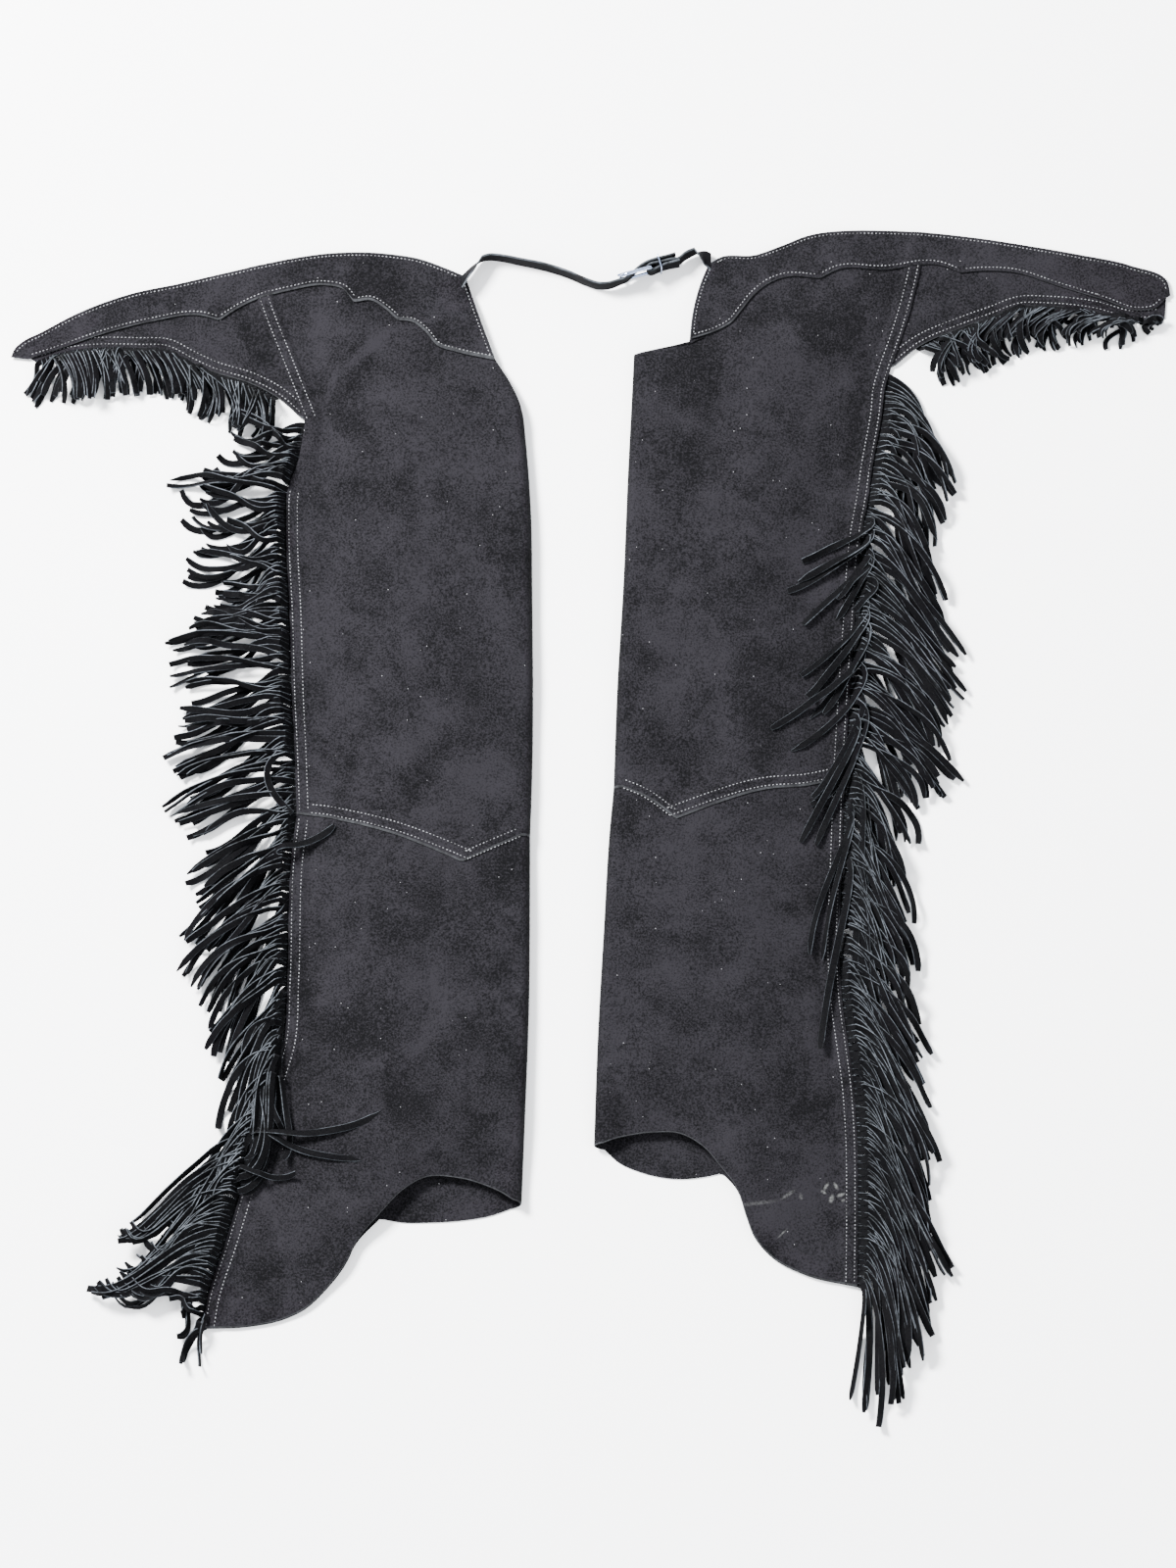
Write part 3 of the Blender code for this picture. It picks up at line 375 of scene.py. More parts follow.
def shell(name, grid, materials, cut="", thickness=LEATHER):
    """Closed wall of leather whose outer face is a grid of points. The first material is the face's and the
    second the cut edge's; cut names the sides (t, b, f, l) whose cut edge is turned a little down."""
    grid = np.array(grid, float)
    rows, columns = grid.shape[0] - 1, grid.shape[1] - 1
    down, along = np.gradient(grid, axis=0), np.gradient(grid, axis=1)
    normal = np.cross(down, along)
    normal /= np.linalg.norm(normal, axis=2, keepdims=True)
    if normal[rows // 3, columns // 4, 2] < 0:
        normal = -normal
    for side, where in (("t", np.s_[0]), ("b", np.s_[-1]), ("f", np.s_[:, 0]), ("l", np.s_[:, -1])):
        if side in cut:
            grid[where] -= EDGE_DROP * normal[where]
            thick = thickness - EDGE_DROP
    inner = grid - thickness * normal
    for side, where in (("t", np.s_[0]), ("b", np.s_[-1]), ("f", np.s_[:, 0]), ("l", np.s_[:, -1])):
        if side in cut:
            inner[where] = grid[where] - thick * normal[where]
    points = np.concatenate([grid.reshape(-1, 3), inner.reshape(-1, 3)])
    width, low = columns + 1, grid.shape[0] * grid.shape[1]
    faces, kinds = [], []
    for j in range(rows):
        for i in range(columns):
            quad = (j * width + i, j * width + i + 1, (j + 1) * width + i + 1, (j + 1) * width + i)
            edge = (("t" in cut and j == 0) or ("b" in cut and j == rows - 1)
                    or ("f" in cut and i == 0) or ("l" in cut and i == columns - 1))
            faces += [quad, tuple(low + k for k in quad[::-1])]
            kinds += [int(edge), 0]
    rim = ([j * width for j in range(rows)] + [rows * width + i for i in range(columns)]
           + [j * width + columns for j in range(rows, 0, -1)] + list(range(columns, 0, -1)))
    faces += [(a, b, low + b, low + a) for a, b in zip(rim, rim[1:] + rim[:1])]
    kinds += [1] * len(rim)
    return solid(name, points, faces, materials, kinds)


def solid(name, points, faces, materials, kinds=None, angle=40):
    """Object from points in millimetres, its normals outward and its flat corners kept crisp."""
    mesh = bpy.data.meshes.new(name)
    mesh.from_pydata((np.asarray(points) * MM).tolist(), [], faces)
    for made in materials:
        mesh.materials.append(made)
    if kinds is not None:
        mesh.polygons.foreach_set("material_index", kinds)
    piece = bpy.data.objects.new(name, mesh)
    bpy.context.scene.collection.objects.link(piece)
    bpy.ops.object.select_all(action="DESELECT")
    bpy.context.view_layer.objects.active = piece
    piece.select_set(True)
    bpy.ops.object.mode_set(mode="EDIT")
    bpy.ops.mesh.select_all(action="SELECT")
    bpy.ops.mesh.normals_make_consistent(inside=False)
    bpy.ops.object.mode_set(mode="OBJECT")
    bpy.ops.object.shade_smooth_by_angle(angle=math.radians(angle))
    return piece


def wrapped(leg, front, back):
    """Outer face of a panel: front, round turn at the inner leg, back on the ground."""
    rows = len(front)
    radius = leg.turn_radius(front[:, -1, 1])
    grid = [np.concatenate([front[j], [turn_point(leg, front[j, -1], back[j, -1], radius[j], k / TURN_STEPS)
                                       for k in range(1, TURN_STEPS)],
                            [(x, y, 0.0) for x, y in back[j, ::-1, :2]]]) for j in range(rows)]
    return np.array(grid)


def turn_point(leg, top, low, radius, share):
    angle = math.pi * share
    x = top[0] + share * (low[0] - top[0]) + leg.inward * radius * math.sin(angle)
    y = top[1] + share * (low[1] - top[1])
    return (x, y, top[2] * (1 + math.cos(angle)) / 2)


TURN_STEPS = 12


def raised(leg, plan, lapped=False, above=0.0):
    x, y = plan[..., 0], plan[..., 1]
    return np.dstack([x, y, leg.face(x, y, lapped) + above])


def make_thigh(leg, looks):
    """Front from the waist to the pointed knee seam, turned at the inner leg, and the back behind it."""
    edge = leg.edge
    across = distances((0, 1.0, 2, 3, 4.5, 7, 10, 12, 13.5, 15.5, 18, 20, 22, 25, 29), 240, 4.0)
    down = distances((0, 5), 560, 4.5, far=(1.0, 2.2, 3.5, 6, 10, 13, 15.5, 18, 21, 25))
    waist = sampled(edge["waist"], np.linspace(0, 1, 200))
    start = edge["hip_seam"][0]
    top_line = [start] + [p - (0, 2.5) for p in waist if (p[0] - start[0]) * leg.inward > 6][::5]
    top = sampled(top_line + [edge["front_end"][0][0] - (0, 2.0)], across)
    knee = joined(edge["knee"], across)
    outer = joined([edge["hip_seam"], edge["side"]], down)
    inner = joined(edge["front_end"] + [edge["inner"]], down)
    outer[0], outer[-1], inner[0], inner[-1] = top[0], knee[0], top[-1], knee[-1]
    turned = leg.turned_in(inner)
    top = top + across[:, None] * (turned[0] - top[-1])
    knee = knee + across[:, None] * (turned[-1] - knee[-1])
    plan = patch(top, knee, outer, turned, across, down)
    turned_row = int(np.argmin(np.abs(outer[:, 1] - leg.seam_end)))
    open_part, full = plan[:turned_row + 1], plan[turned_row:]
    front = raised(leg, full, lapped=True)
    closed = wrapped(leg, front, full)
    upper = raised(leg, open_part, lapped=True)
    # above the hip seam's end the front has no back: its inner edge comes down to a narrow roll
    roll = []
    for j, row in enumerate(upper):
        radius = leg.turn_radius(row[-1, 1])
        rounding = (j / turned_row) ** 2
        for k in range(1, TURN_STEPS // 2 + 1):
            angle = math.pi * k / TURN_STEPS
            reach = rounding * math.sin(angle) + (1 - rounding) * 2 * k / TURN_STEPS
            sink = rounding * (1 - math.cos(angle)) * row[-1, 2] / 2
            roll.append((row[-1, 0] + leg.inward * radius * reach, row[-1, 1], row[-1, 2] - sink))
    upper = np.concatenate([upper, np.array(roll).reshape(len(upper), -1, 3)], axis=1)
    upper[-1] = closed[0, :upper.shape[1]]
    high = shell(leg.name + "_thigh_top", upper, looks, cut="")
    low = shell(leg.name + "_thigh_panel", closed, looks, cut="b")
    return join([low, high], leg.name + "_thigh")


def make_calf(leg, looks):
    """Knee seam to the hems, the front hem arched above the back one, the inner leg turned round."""
    edge = leg.edge
    across = distances((0, 1.0, 2, 3, 4.5, 7, 10, 12, 13.5, 15.5, 18, 20, 22, 25, 29), 240, 4.0)
    down = distances((0, 5), 430, 4.5, far=(1.0, 2.2, 4.5, 8))
    knee = joined(edge["knee"], across)
    outer, inner = sampled(edge["side_low"], down), sampled(edge["inner_low"], down)
    outer[0], inner[0] = knee[0], knee[-1]
    turned = leg.turned_in(inner)
    slide = across[:, None] * (turned[0] - knee[-1])
    grids = []
    for key in ("hem_front", "hem_back"):
        hem = joined(edge[key], across)
        end = leg.turned_in(hem[-1:])[0]
        side = turned + down[:, None] ** 3 * (end - turned[-1])
        hem = hem + across[:, None] ** 3 * (end - hem[-1])
        grids.append(patch(knee + slide, hem, outer, side, across, down))
    front, back = grids
    front[0, :, 1] += UNDER
    closed = wrapped(leg, raised(leg, front), back)
    return shell(leg.name + "_calf", closed, looks, cut="b")


def make_hip(leg, looks):
    """Hip seam to the back waist, lying spread outwards; its edge runs on a little under the thigh panel."""
    edge = leg.edge
    across = distances((0, 4), 260, 4.0, far=(3, 6))
    down = distances((0, 5), 90, 4.0, far=(1.0, 2.2, 3.5, 6, 10))
    waist = sampled(edge["waist"], np.linspace(0, 1, 200))
    seam = sampled(edge["hip_seam"], down)
    seam[:, 0] += leg.inward * UNDER
    back_part = [p - (0, 3.0) for p in waist if (seam[0][0] - p[0]) * leg.inward > 6]
    top = sampled(back_part[6::5] + [seam[0]], across)
    lower = sampled(edge["hip_lower"], across)
    lower[-1] = seam[-1]
    tip = sampled([top[0], lower[0]], down)
    return shell(leg.name + "_hip", raised(leg, patch(top, lower, tip, seam, across, down)), looks, cut="b")


def make_yoke(leg, looks):
    """Scalloped waistband, laid on the thigh and hip panels."""
    edge = leg.edge
    across = distances((0, 1.0, 2.2, 4), 500, 3.0, far=(1.0, 2.2, 4))
    down = distances((0, 1.0, 2.2, 3.5), 60, 4.0, far=(1.0, 2.2, 3.5))
    lower, top = joined(edge["yoke_lower"], across), sampled(edge["waist"], across)
    end = sampled(edge["front_end"][0], down)
    end[-1] = lower[-1]
    tip = sampled([top[0], lower[0]], down)
    plan = patch(top, lower, tip, end, across, down)
    return shell(leg.name + "_yoke_band", raised(leg, plan, above=YOKE_ABOVE), looks, cut="tbfl")


def join(parts, name):
    """One object of several, merged where they meet."""
    bpy.ops.object.select_all(action="DESELECT")
    for part in parts:
        part.select_set(True)
    bpy.context.view_layer.objects.active = parts[0]
    bpy.ops.object.join()
    parts[0].name = parts[0].data.name = name
    return parts[0]


def stitch_rows(leg):
    """Every row of stitches on a leg: plan points, and the height that the thread lies above the panels."""
    edge, fine = leg.edge, np.linspace(0, 1, 300)
    rows = []

    def along(line, sideways, above=0.0, lapped=True, trim=(3, 3)):
        way = np.gradient(line, axis=0)
        way /= np.linalg.norm(way, axis=1, keepdims=True)
        moved = line + np.stack([-way[:, 1], way[:, 0]], axis=1) * sideways
        run = np.concatenate([[0], np.cumsum(np.linalg.norm(np.diff(moved, axis=0), axis=1))])
        keep = (run > trim[0]) & (run < run[-1] - trim[1])
        rows.append((moved[keep], above, lapped))

    turn = leg.inward
    for part in edge["yoke_lower"]:
        along(sampled(part, fine), 3.8 * turn, YOKE_ABOVE, False, (3.5, 3.5))
    along(sampled(edge["waist"], fine), -3.6 * turn, YOKE_ABOVE, False, (6, 6))
    along(sampled(edge["front_end"][0], fine), -3.6 * turn, YOKE_ABOVE, False, (4, 6))
    hip, side = (sampled(edge[k], fine) for k in ("hip_seam", "side"))
    if turn > 0:                 # the left thigh rolls over the top of its side seam and hides the stitches
        side = side[side[:, 1] < ROLLED_TO * GRADE]
    else:
        hip, side = np.concatenate([hip, side]), None
    hem = sampled(edge["side_low"], fine)
    for inset in (3.0, 11.6):
        along(hip, inset * turn, 0.0, True, (16, 2))
        if side is not None:
            along(side, inset * turn, 0.0, True, (0, 2))
        along(hem, inset * turn, 0.0, False, (3, 2))
    knee = joined(edge["knee"], fine)
    for inset in (3.0, 11.6):
        along(knee, inset * turn, 0.0, True, (13, 8))
    lower = sampled(edge["hip_lower"], fine)
    for inset in (4.0, 11.0):
        along(lower, inset * turn, 0.0, False, (6, 10))
    return rows


def make_stitches(leg, look, sizes):
    """Thread of every seam: one small spindle for each stitch."""
    length, pitch, thick = sizes.stitch_length / MM, sizes.stitch_pitch / MM, sizes.thread / MM
    chance = np.random.default_rng(11 if leg.inward > 0 else 12)
    points, faces = [], []
    section = [(0, 0.5), (-0.5, 0), (0, -0.5), (0.5, 0)]
    for line, above, lapped in stitch_rows(leg):
        run = np.concatenate([[0], np.cumsum(np.linalg.norm(np.diff(line, axis=0), axis=1))])
        at = np.arange(pitch / 2, run[-1], pitch)
        for s in at + chance.uniform(-0.25, 0.25, len(at)):
            here = np.array([np.interp(s, run, line[:, k]) for k in (0, 1)])
            ahead = np.array([np.interp(s + 1, run, line[:, k]) for k in (0, 1)])
            way = ahead - here
            if np.linalg.norm(way) < 1e-6:
                continue
            way /= np.linalg.norm(way)
            slant = math.radians(chance.uniform(2, 9))
            way = np.array((way[0] * math.cos(slant) - way[1] * math.sin(slant),
                            way[0] * math.sin(slant) + way[1] * math.cos(slant)))
            side = np.array((-way[1], way[0]))
            base = len(points)
            for d in (-0.5, -0.28, 0.28, 0.5):
                spot = here + way * d * length
                z = float(leg.face(spot[0], spot[1], lapped)) + above
                if abs(d) == 0.5:
                    points.append((*spot, z - 0.15))
                    continue
                for across, up in section:
                    points.append((*(spot + side * across * thick * 1.25), z + 0.22 + up * thick))
            ring_a, ring_b, last = base + 1, base + 5, base + 9
            for k in range(4):
                n = (k + 1) % 4
                faces += [(base, ring_a + n, ring_a + k), (last, ring_b + k, ring_b + n),
                          (ring_a + k, ring_a + n, ring_b + n, ring_b + k)]
    return solid(leg.name + "_stitches", points, faces, [look], angle=70)


class Ground:
    """Height of whatever lies under the next strip, on a fine grid."""

    STEP = 2.0
    LOW = np.array((-660.0, -690.0))
    SHAPE = (661, 691)

    def __init__(self, both):
        x = self.LOW[0] + self.STEP * np.arange(self.SHAPE[0])[:, None] + np.zeros(self.SHAPE)
        y = self.LOW[1] + self.STEP * np.arange(self.SHAPE[1])[None, :] + np.zeros(self.SHAPE)
        self.z = np.zeros(self.SHAPE)
        for leg in both:
            low, high = leg.outer[0, 1], leg.outer[-1, 1]
            within = ((leg.inside(x, y) > -0.5) & (y > low - 2) & (y < high)
                      & ((np.interp(y, leg.inner[:, 1], leg.inner[:, 0]) - x) * leg.inward > 0))
            self.z = np.where(within, np.maximum(self.z, leg.face(x, y, True)), self.z)

    def cell(self, spots):
        k = np.round((spots - self.LOW) / self.STEP).astype(int)
        return np.clip(k[..., 0], 0, self.SHAPE[0] - 1), np.clip(k[..., 1], 0, self.SHAPE[1] - 1)

    def under(self, spots, side, half):
        """Highest point under each place of a strip, across its width."""
        across = [self.z[self.cell(spots + side * (h * half)[:, None])] for h in (-1, -0.5, 0, 0.5, 1)]
        return np.max(across, axis=0)

    def lay(self, spots, side, half, top):
        for k in range(len(spots) - 1):
            for t in (0, 0.33, 0.67):
                spot = spots[k] + t * (spots[k + 1] - spots[k])
                z = top[k] + t * (top[k + 1] - top[k])
                reach = np.array([spot + side[k] * h * half[k] for h in (-1, -0.5, 0, 0.5, 1)])
                i, j = self.cell(reach)
                self.z[i, j] = np.maximum(self.z[i, j], z)


STRIP_STEPS = 22             # lengths into which a strip is divided
HIP_STRIP = 48.0             # length of a hip strip, seam to tip
TURNED_STRIP = 400.0         # longer than any way back over the leg, so that those strips wave in full
WAVE_LIMIT = 5.0             # how far a strip waves aside that is too long for its way
STRETCH = 1.28               # the most that a strip may be longer than it was cut, to reach its tip
HIP_PITCH = 0.62             # the hip strips stand closer than the side strips, by this factor
SEWN_AT = (0.8, 2.35)        # height at which a strip is sewn in: in the hip's lower edge, in the side seam
STRIP_BEVEL = 0.42           # cut corners of a strip
PILE_LIMIT = 17.0            # strips never climb higher than this on what lies under them
# How a strip is rolled about its length, in degrees: mean and spread at its end and in its middle
ROLLS = {"hanging": ((22, 26), (42, 9)), "turned": ((12, 12), (30, 12))}


def heading(degrees):
    return np.array((math.cos(math.radians(degrees)), math.sin(math.radians(degrees))))


def directions(line):
    way = np.gradient(line, axis=0)
    return way / np.linalg.norm(way, axis=1, keepdims=True)


def lengths(line):
    """Distance of each point from the start, along the line."""
    return np.concatenate([[0], np.cumsum(np.linalg.norm(np.diff(line, axis=0), axis=1))])


def strip_route(root, out, tip, arrive, swing, length, waves, phase):
    """Plan route of a strip, from its root to its tip, of the length it was cut to as near as it goes."""
    t = np.linspace(0, 1, 80)[:, None]
    chord = np.linalg.norm(tip - root)
    first, last = root + out * swing * 1.5, tip - arrive * min(0.42 * chord, 52.0)
    bare = (1 - t) ** 3 * root + 3 * t * (1 - t) ** 2 * first + 3 * t * t * (1 - t) * last + t ** 3 * tip
    way = directions(bare)
    side = np.stack([-way[:, 1], way[:, 0]], axis=1)
    wave = side * np.sin(2 * math.pi * waves * t + phase) * smoothstep(t / 0.3) * (1.15 - t)
    low, high = 0.0, WAVE_LIMIT
    for _ in range(9):
        size = (low + high) / 2
        if lengths(bare + wave * size)[-1] < length:
            low = size
        else:
            high = size
    line = bare + wave * low
    run = lengths(line)
    at = np.linspace(0, min(run[-1], length * STRETCH), STRIP_STEPS + 1)
    return np.stack([np.interp(at, run, line[:, k]) for k in (0, 1)], axis=1), at


def between(tufts):
    """Smaller tufts that fall between the listed ones and fill the gaps under them."""
    rows = []
    for above, below in zip(tufts, tufts[1:]):
        mean = [(a + b) / 2 for a, b in zip(above, below)]
        turn = (below[4] - above[4] + 180) % 360 - 180
        root = (above[1] + below[0]) / 2
        legs_side = -300 if mean[2] < 0 else 280
        x = mean[2] + 0.14 * (legs_side - mean[2])
        rows.append(((above[0] + root) / 2, (root + below[1]) / 2, x, mean[3], above[4] + turn / 2,
                     mean[5] * 1.6, mean[6] * 0.9))
    return rows


def hanging(leg, tufts, axis, sizes, chance):
    """Root, tip, pointing, swing, length and phase of each strip of the tufts."""
    edge = leg.outer if axis == 1 else leg.lower
    pitch = sizes.strip_pitch / MM * (1.0 if axis == 1 else HIP_PITCH)
    plans = []
    for start, end, x, y, pointing, fan, swing in tufts + between(tufts):
        a, b = (start * GRADE, end * GRADE) if axis == 1 else (start, end)
        number = max(1, round(abs(b - a) / pitch))
        together = chance.uniform(0, 6.28)
        away = heading(pointing)
        across = np.array((-away[1], away[0]))
        for k in range(number):
            q = (k + 0.5 + chance.uniform(-0.2, 0.2)) / number
            at = a + (b - a) * q
            spot = np.array([np.interp(at, edge[:, axis], edge[:, c]) for c in (0, 1)])
            spread = (q - 0.5) * 2.6 * fan * (-leg.inward if axis == 1 else 1)
            short = abs(chance.normal(0, 9))
            spread += chance.normal(0, 3.0 if axis == 1 else 6.0)
            tip = np.array((x, y * GRADE)) + across * spread - away * short
            cut = (sizes.strip_length / MM if axis == 1 else HIP_STRIP) * chance.uniform(0.94, 1.03)
            plans.append((spot, tip, pointing + chance.normal(0, 9), swing * chance.uniform(0.8, 1.2), cut,
                          together + chance.normal(0, 0.5)))
    return sorted(plans, key=lambda plan: -plan[0][1]) if axis == 1 else plans


def turned_back(leg, rows):
    """The same for the strips that lie turned back over the leg."""
    return [(np.array((leg.side_x(root * GRADE), root * GRADE)), np.array((x, y * GRADE)), pointing, swing,
             TURNED_STRIP, 0.0) for root, x, y, pointing, swing in rows]


def rolled(run, wide, fall, phase, chance):
    """How far a strip is rolled about its length, and half its width, at each place of its run."""
    total = run[-1]
    on_edge = smoothstep((run - HEADING * 0.8) / 9)
    at_end, at_middle = (chance.normal(*row) for row in ROLLS[fall])
    roll = on_edge * (at_middle + (at_end - at_middle) * smoothstep((run - 26) / (0.55 * total)))
    roll += on_edge * 10 * np.sin(run / chance.uniform(16, 28) + phase)
    taper = 1 - smoothstep((run - total + chance.uniform(2, 14)) / 14) * chance.uniform(0.35, 0.85)
    half = wide / 2 * np.clip(taper, 0.15, 1) * chance.uniform(0.86, 1.1)
    return np.radians(np.clip(roll, -80, 84)), half


def laid(ground, route, side, run, flat_half, tall_half, sewn_at, chance):
    """Height of a strip's middle line on what is already there; the strip is then part of the ground."""
    under = ground.under(route, side, flat_half)
    under = np.max([np.roll(under, k) for k in (-1, 0, 1)], axis=0)
    under[run < HEADING + 2] = 0
    for _ in range(2):
        under[1:-1] = (under[:-2] + 2 * under[1:-1] + under[2:]) / 4
    lift = chance.uniform(0, 3.5) * np.sin(math.pi * run / run[-1]) ** 2
    z = np.minimum(under, PILE_LIMIT) + tall_half * 0.92 + lift
    sewn = 1 - smoothstep((run - HEADING) / 9)
    z = z * (1 - sewn) + sewn_at * sewn
    ground.lay(route, side, flat_half * 0.8, np.where(run < HEADING + 3, 0, z - tall_half + 1.3))
    return z


def make_strips(name, leg, tufts, axis, ground, looks, sizes, seed, fall="hanging"):
    """Cut strips of a fringe, laid one after another on what is already there."""
    chance = np.random.default_rng(seed)
    wide, thick = sizes.strip_width / MM, sizes.strip_thick / MM
    edge = leg.outer if axis == 1 else leg.lower
    bevel = min(STRIP_BEVEL, wide / 8)
    points, faces, kinds = [], [], []
    for spot, tip, pointing, swing, cut, phase in (
            turned_back(leg, tufts) if fall == "turned" else hanging(leg, tufts, axis, sizes, chance)):
        ends = [np.interp(spot[axis] + d, edge[:, axis], edge[:, 1 - axis]) for d in (-4, 4)]
        across = ends[1] - ends[0]
        out = np.array((-8.0, across)) * leg.inward if axis == 1 else np.array((across, -8.0))
        out = out / np.linalg.norm(out)
        route, run = strip_route(spot - out * HEADING, out, tip, heading(pointing), swing, cut,
                                 chance.uniform(0.8, 1.1), phase)
        way = directions(route)
        side = np.stack([way[:, 1], -way[:, 0]], axis=1) * leg.inward
        roll, half = rolled(run, wide, fall, phase, chance)
        flat_half = half * np.abs(np.cos(roll)) + thick / 2
        tall_half = half * np.abs(np.sin(roll)) + thick / 2 * np.abs(np.cos(roll))
        z = laid(ground, route, side, run, flat_half, tall_half, SEWN_AT[axis], chance)
        base = len(points)
        rings = np.zeros((len(route), 6, 3))
        for n, (w, h) in enumerate([(half, 0), (half - bevel, thick / 2), (bevel - half, thick / 2), (-half, 0),
                                    (bevel - half, -thick / 2), (half - bevel, -thick / 2)]):
            rings[:, n, :2] = route + side * (w * np.cos(roll) - h * np.sin(roll))[:, None]
            rings[:, n, 2] = z + w * np.sin(roll) + h * np.cos(roll)
        rings[..., 2] = np.maximum(rings[..., 2], 0.05)
        points.extend(rings.reshape(-1, 3))
        for k in range(STRIP_STEPS):
            here, there = base + k * 6, base + (k + 1) * 6
            for n in range(6):
                m = (n + 1) % 6
                faces.append((here + n, here + m, there + m, there + n))
                kinds.append(0 if n in (1, 4) else 1)
        end = base + 6 * STRIP_STEPS
        faces += [tuple(range(base, base + 6)), tuple(range(end, end + 6))]
        kinds += [1, 1]
    return solid(name, points, faces, looks, kinds, angle=24)


def from_buckle(along, out):
    """Plan point measured from the buckle's middle, along it and out of its face."""
    x, y = BUCKLE_AT[0], BUCKLE_AT[1] * GRADE
    c, s = math.cos(BUCKLE_SWING), math.sin(BUCKLE_SWING)
    return np.array((x + along * c - out * s, y + along * s + out * c))


def belt_stand(x):
    rows = np.array(BELT_STAND, float)
    return np.interp(x, rows[:, 0], rows[:, 1]), math.radians(np.interp(x, rows[:, 0], rows[:, 2]))


def belt_point(plan, up):
    lift, lean = belt_stand(plan[0])
    return (plan[0], plan[1] - up * math.sin(lean), lift + up * math.cos(lean))


def buckle_point(along, out, up):
    """A point of the buckle: up is measured across it from the strap's middle line."""
    lift, lean = belt_stand(BUCKLE_AT[0])
    middle = np.array((*from_buckle(along, 0.0), lift)) + np.array((0.0, -math.sin(lean), math.cos(lean))) * (
        STRAP_WIDTH / 2 + up)
    facing = np.array((-math.sin(BUCKLE_SWING), math.cos(BUCKLE_SWING) * math.cos(lean), math.sin(lean)))
    return middle + facing * out


def make_strap(name, route, looks):
    """Leather strap standing on its edge, its long corners cut off square and rubbed pale."""
    line = sampled(route, np.linspace(0, 1, 160))
    way = np.gradient(line, axis=0)
    side = np.stack([-way[:, 1], way[:, 0]], axis=1) / np.linalg.norm(way, axis=1, keepdims=True)
    half, bevel = STRAP_THICK / 2, STRAP_BEVEL
    section = [(-half, bevel), (bevel - half, 0), (half - bevel, 0), (half, bevel), (half, STRAP_WIDTH * 0.33),
               (half, STRAP_WIDTH * 0.67), (half, STRAP_WIDTH - bevel), (half - bevel, STRAP_WIDTH),
               (bevel - half, STRAP_WIDTH), (-half, STRAP_WIDTH - bevel), (-half, STRAP_WIDTH * 0.67),
               (-half, STRAP_WIDTH * 0.33)]
    points, faces, kinds, size = [], [], [], len(section)
    for k, (spot, away) in enumerate(zip(line, side)):
        sway = 0.5 * math.sin(k * 0.11) + 0.35 * math.sin(k * 0.31 + 1)
        for out, up in section:
            bowed = out + sway * math.sin(math.pi * up / STRAP_WIDTH)
            points.append(belt_point(spot + away * bowed, up))
    for k in range(len(line) - 1):
        for n in range(size):
            m = (n + 1) % size
            faces.append((k * size + n, k * size + m, (k + 1) * size + m, (k + 1) * size + n))
            kinds.append(1 if n in (0, 1, 2, 6, 7, 8) else 0)
    last = (len(line) - 1) * size
    faces += [tuple(range(size)), tuple(range(last, last + size))]
    return solid(name, points, faces, looks, kinds + [1, 1], angle=35)


def make_wire(name, route, radius, look, closed):
    """Round wire: a ring of points is drawn, bent to its route, given its thickness and made a mesh."""
    bpy.ops.object.select_all(action="DESELECT")
    bpy.ops.mesh.primitive_circle_add(vertices=len(route), radius=0.01)
    ring = bpy.context.object
    for vertex, point in zip(ring.data.vertices, route):
        vertex.co = Vector([c * MM for c in point])
    if not closed:
        bpy.ops.object.mode_set(mode="EDIT")
        bpy.ops.mesh.select_mode(type="EDGE")
        bpy.ops.mesh.select_all(action="DESELECT")
        bpy.ops.object.mode_set(mode="OBJECT")
        for edge in ring.data.edges:
            edge.select = {*edge.vertices} == {0, len(route) - 1}
        bpy.ops.object.mode_set(mode="EDIT")
        bpy.ops.mesh.delete(type="EDGE_FACE")
        bpy.ops.object.mode_set(mode="OBJECT")
    bpy.ops.object.convert(target="CURVE")
    ring.data.bevel_depth = radius * MM
    ring.data.bevel_resolution = 5
    ring.data.use_fill_caps = True
    bpy.ops.object.convert(target="MESH")
    bpy.ops.object.mode_set(mode="EDIT")
    bpy.ops.mesh.select_all(action="SELECT")
    bpy.ops.mesh.remove_doubles(threshold=0.00001)
    bpy.ops.mesh.normals_make_consistent(inside=False)
    bpy.ops.object.mode_set(mode="OBJECT")
    bpy.ops.object.shade_smooth_by_angle(angle=math.radians(50))
    ring.name = ring.data.name = name
    ring.data.materials.append(look)
    return ring


def linear(code):
    """An sRGB hex colour as linear numbers."""
    parts = [int(code[k:k + 2], 16) / 255 for k in (1, 3, 5)]
    return [c / 12.92 if c <= 0.04045 else ((c + 0.055) / 1.055) ** 2.4 for c in parts] + [1.0]


def add(tree, kind, settings=None, links=None):
    """A node with its settings, its input values and the sockets that feed it."""
    node = tree.nodes.new(kind)
    for name, value in (settings or {}).items():
        if name in node.inputs:
            node.inputs[name].default_value = value
        elif name.isdigit():
            node.inputs[int(name)].default_value = value
        else:
            setattr(node, name, value)
    for name, source in (links or {}).items():
        tree.links.new(source, node.inputs[int(name)] if name.isdigit() else node.inputs[name])
    return node


# Darkest and lightest shade of each material
SUEDE = ("#040405", "#171619")
# painted shade: the fringe is the panels' black suede made near black, standing in for the deep shade among its
# strips
FRINGE_WITH_PAINTED_SHADE = ("#010102", "#050506")
# painted shade: the strap is black leather made darker still, standing in for the shade on its face that stands on
# edge
STRAP = ("#020203", "#08080a")
STRIP_CUT = ("#090a0b", "#3f4348")
PANEL_CUT = ("#0b0b0d", "#242527")
THREAD = ("#232325", "#66676a")
# painted reflection: the chrome's blue tint stands in for the sky that the buckle reflects; lint and chalk are
# their own colours
CHROME_AND_SKY_TINT, LINT, CHALK = "#8693ad", "#98989b", "#4e4f4e"
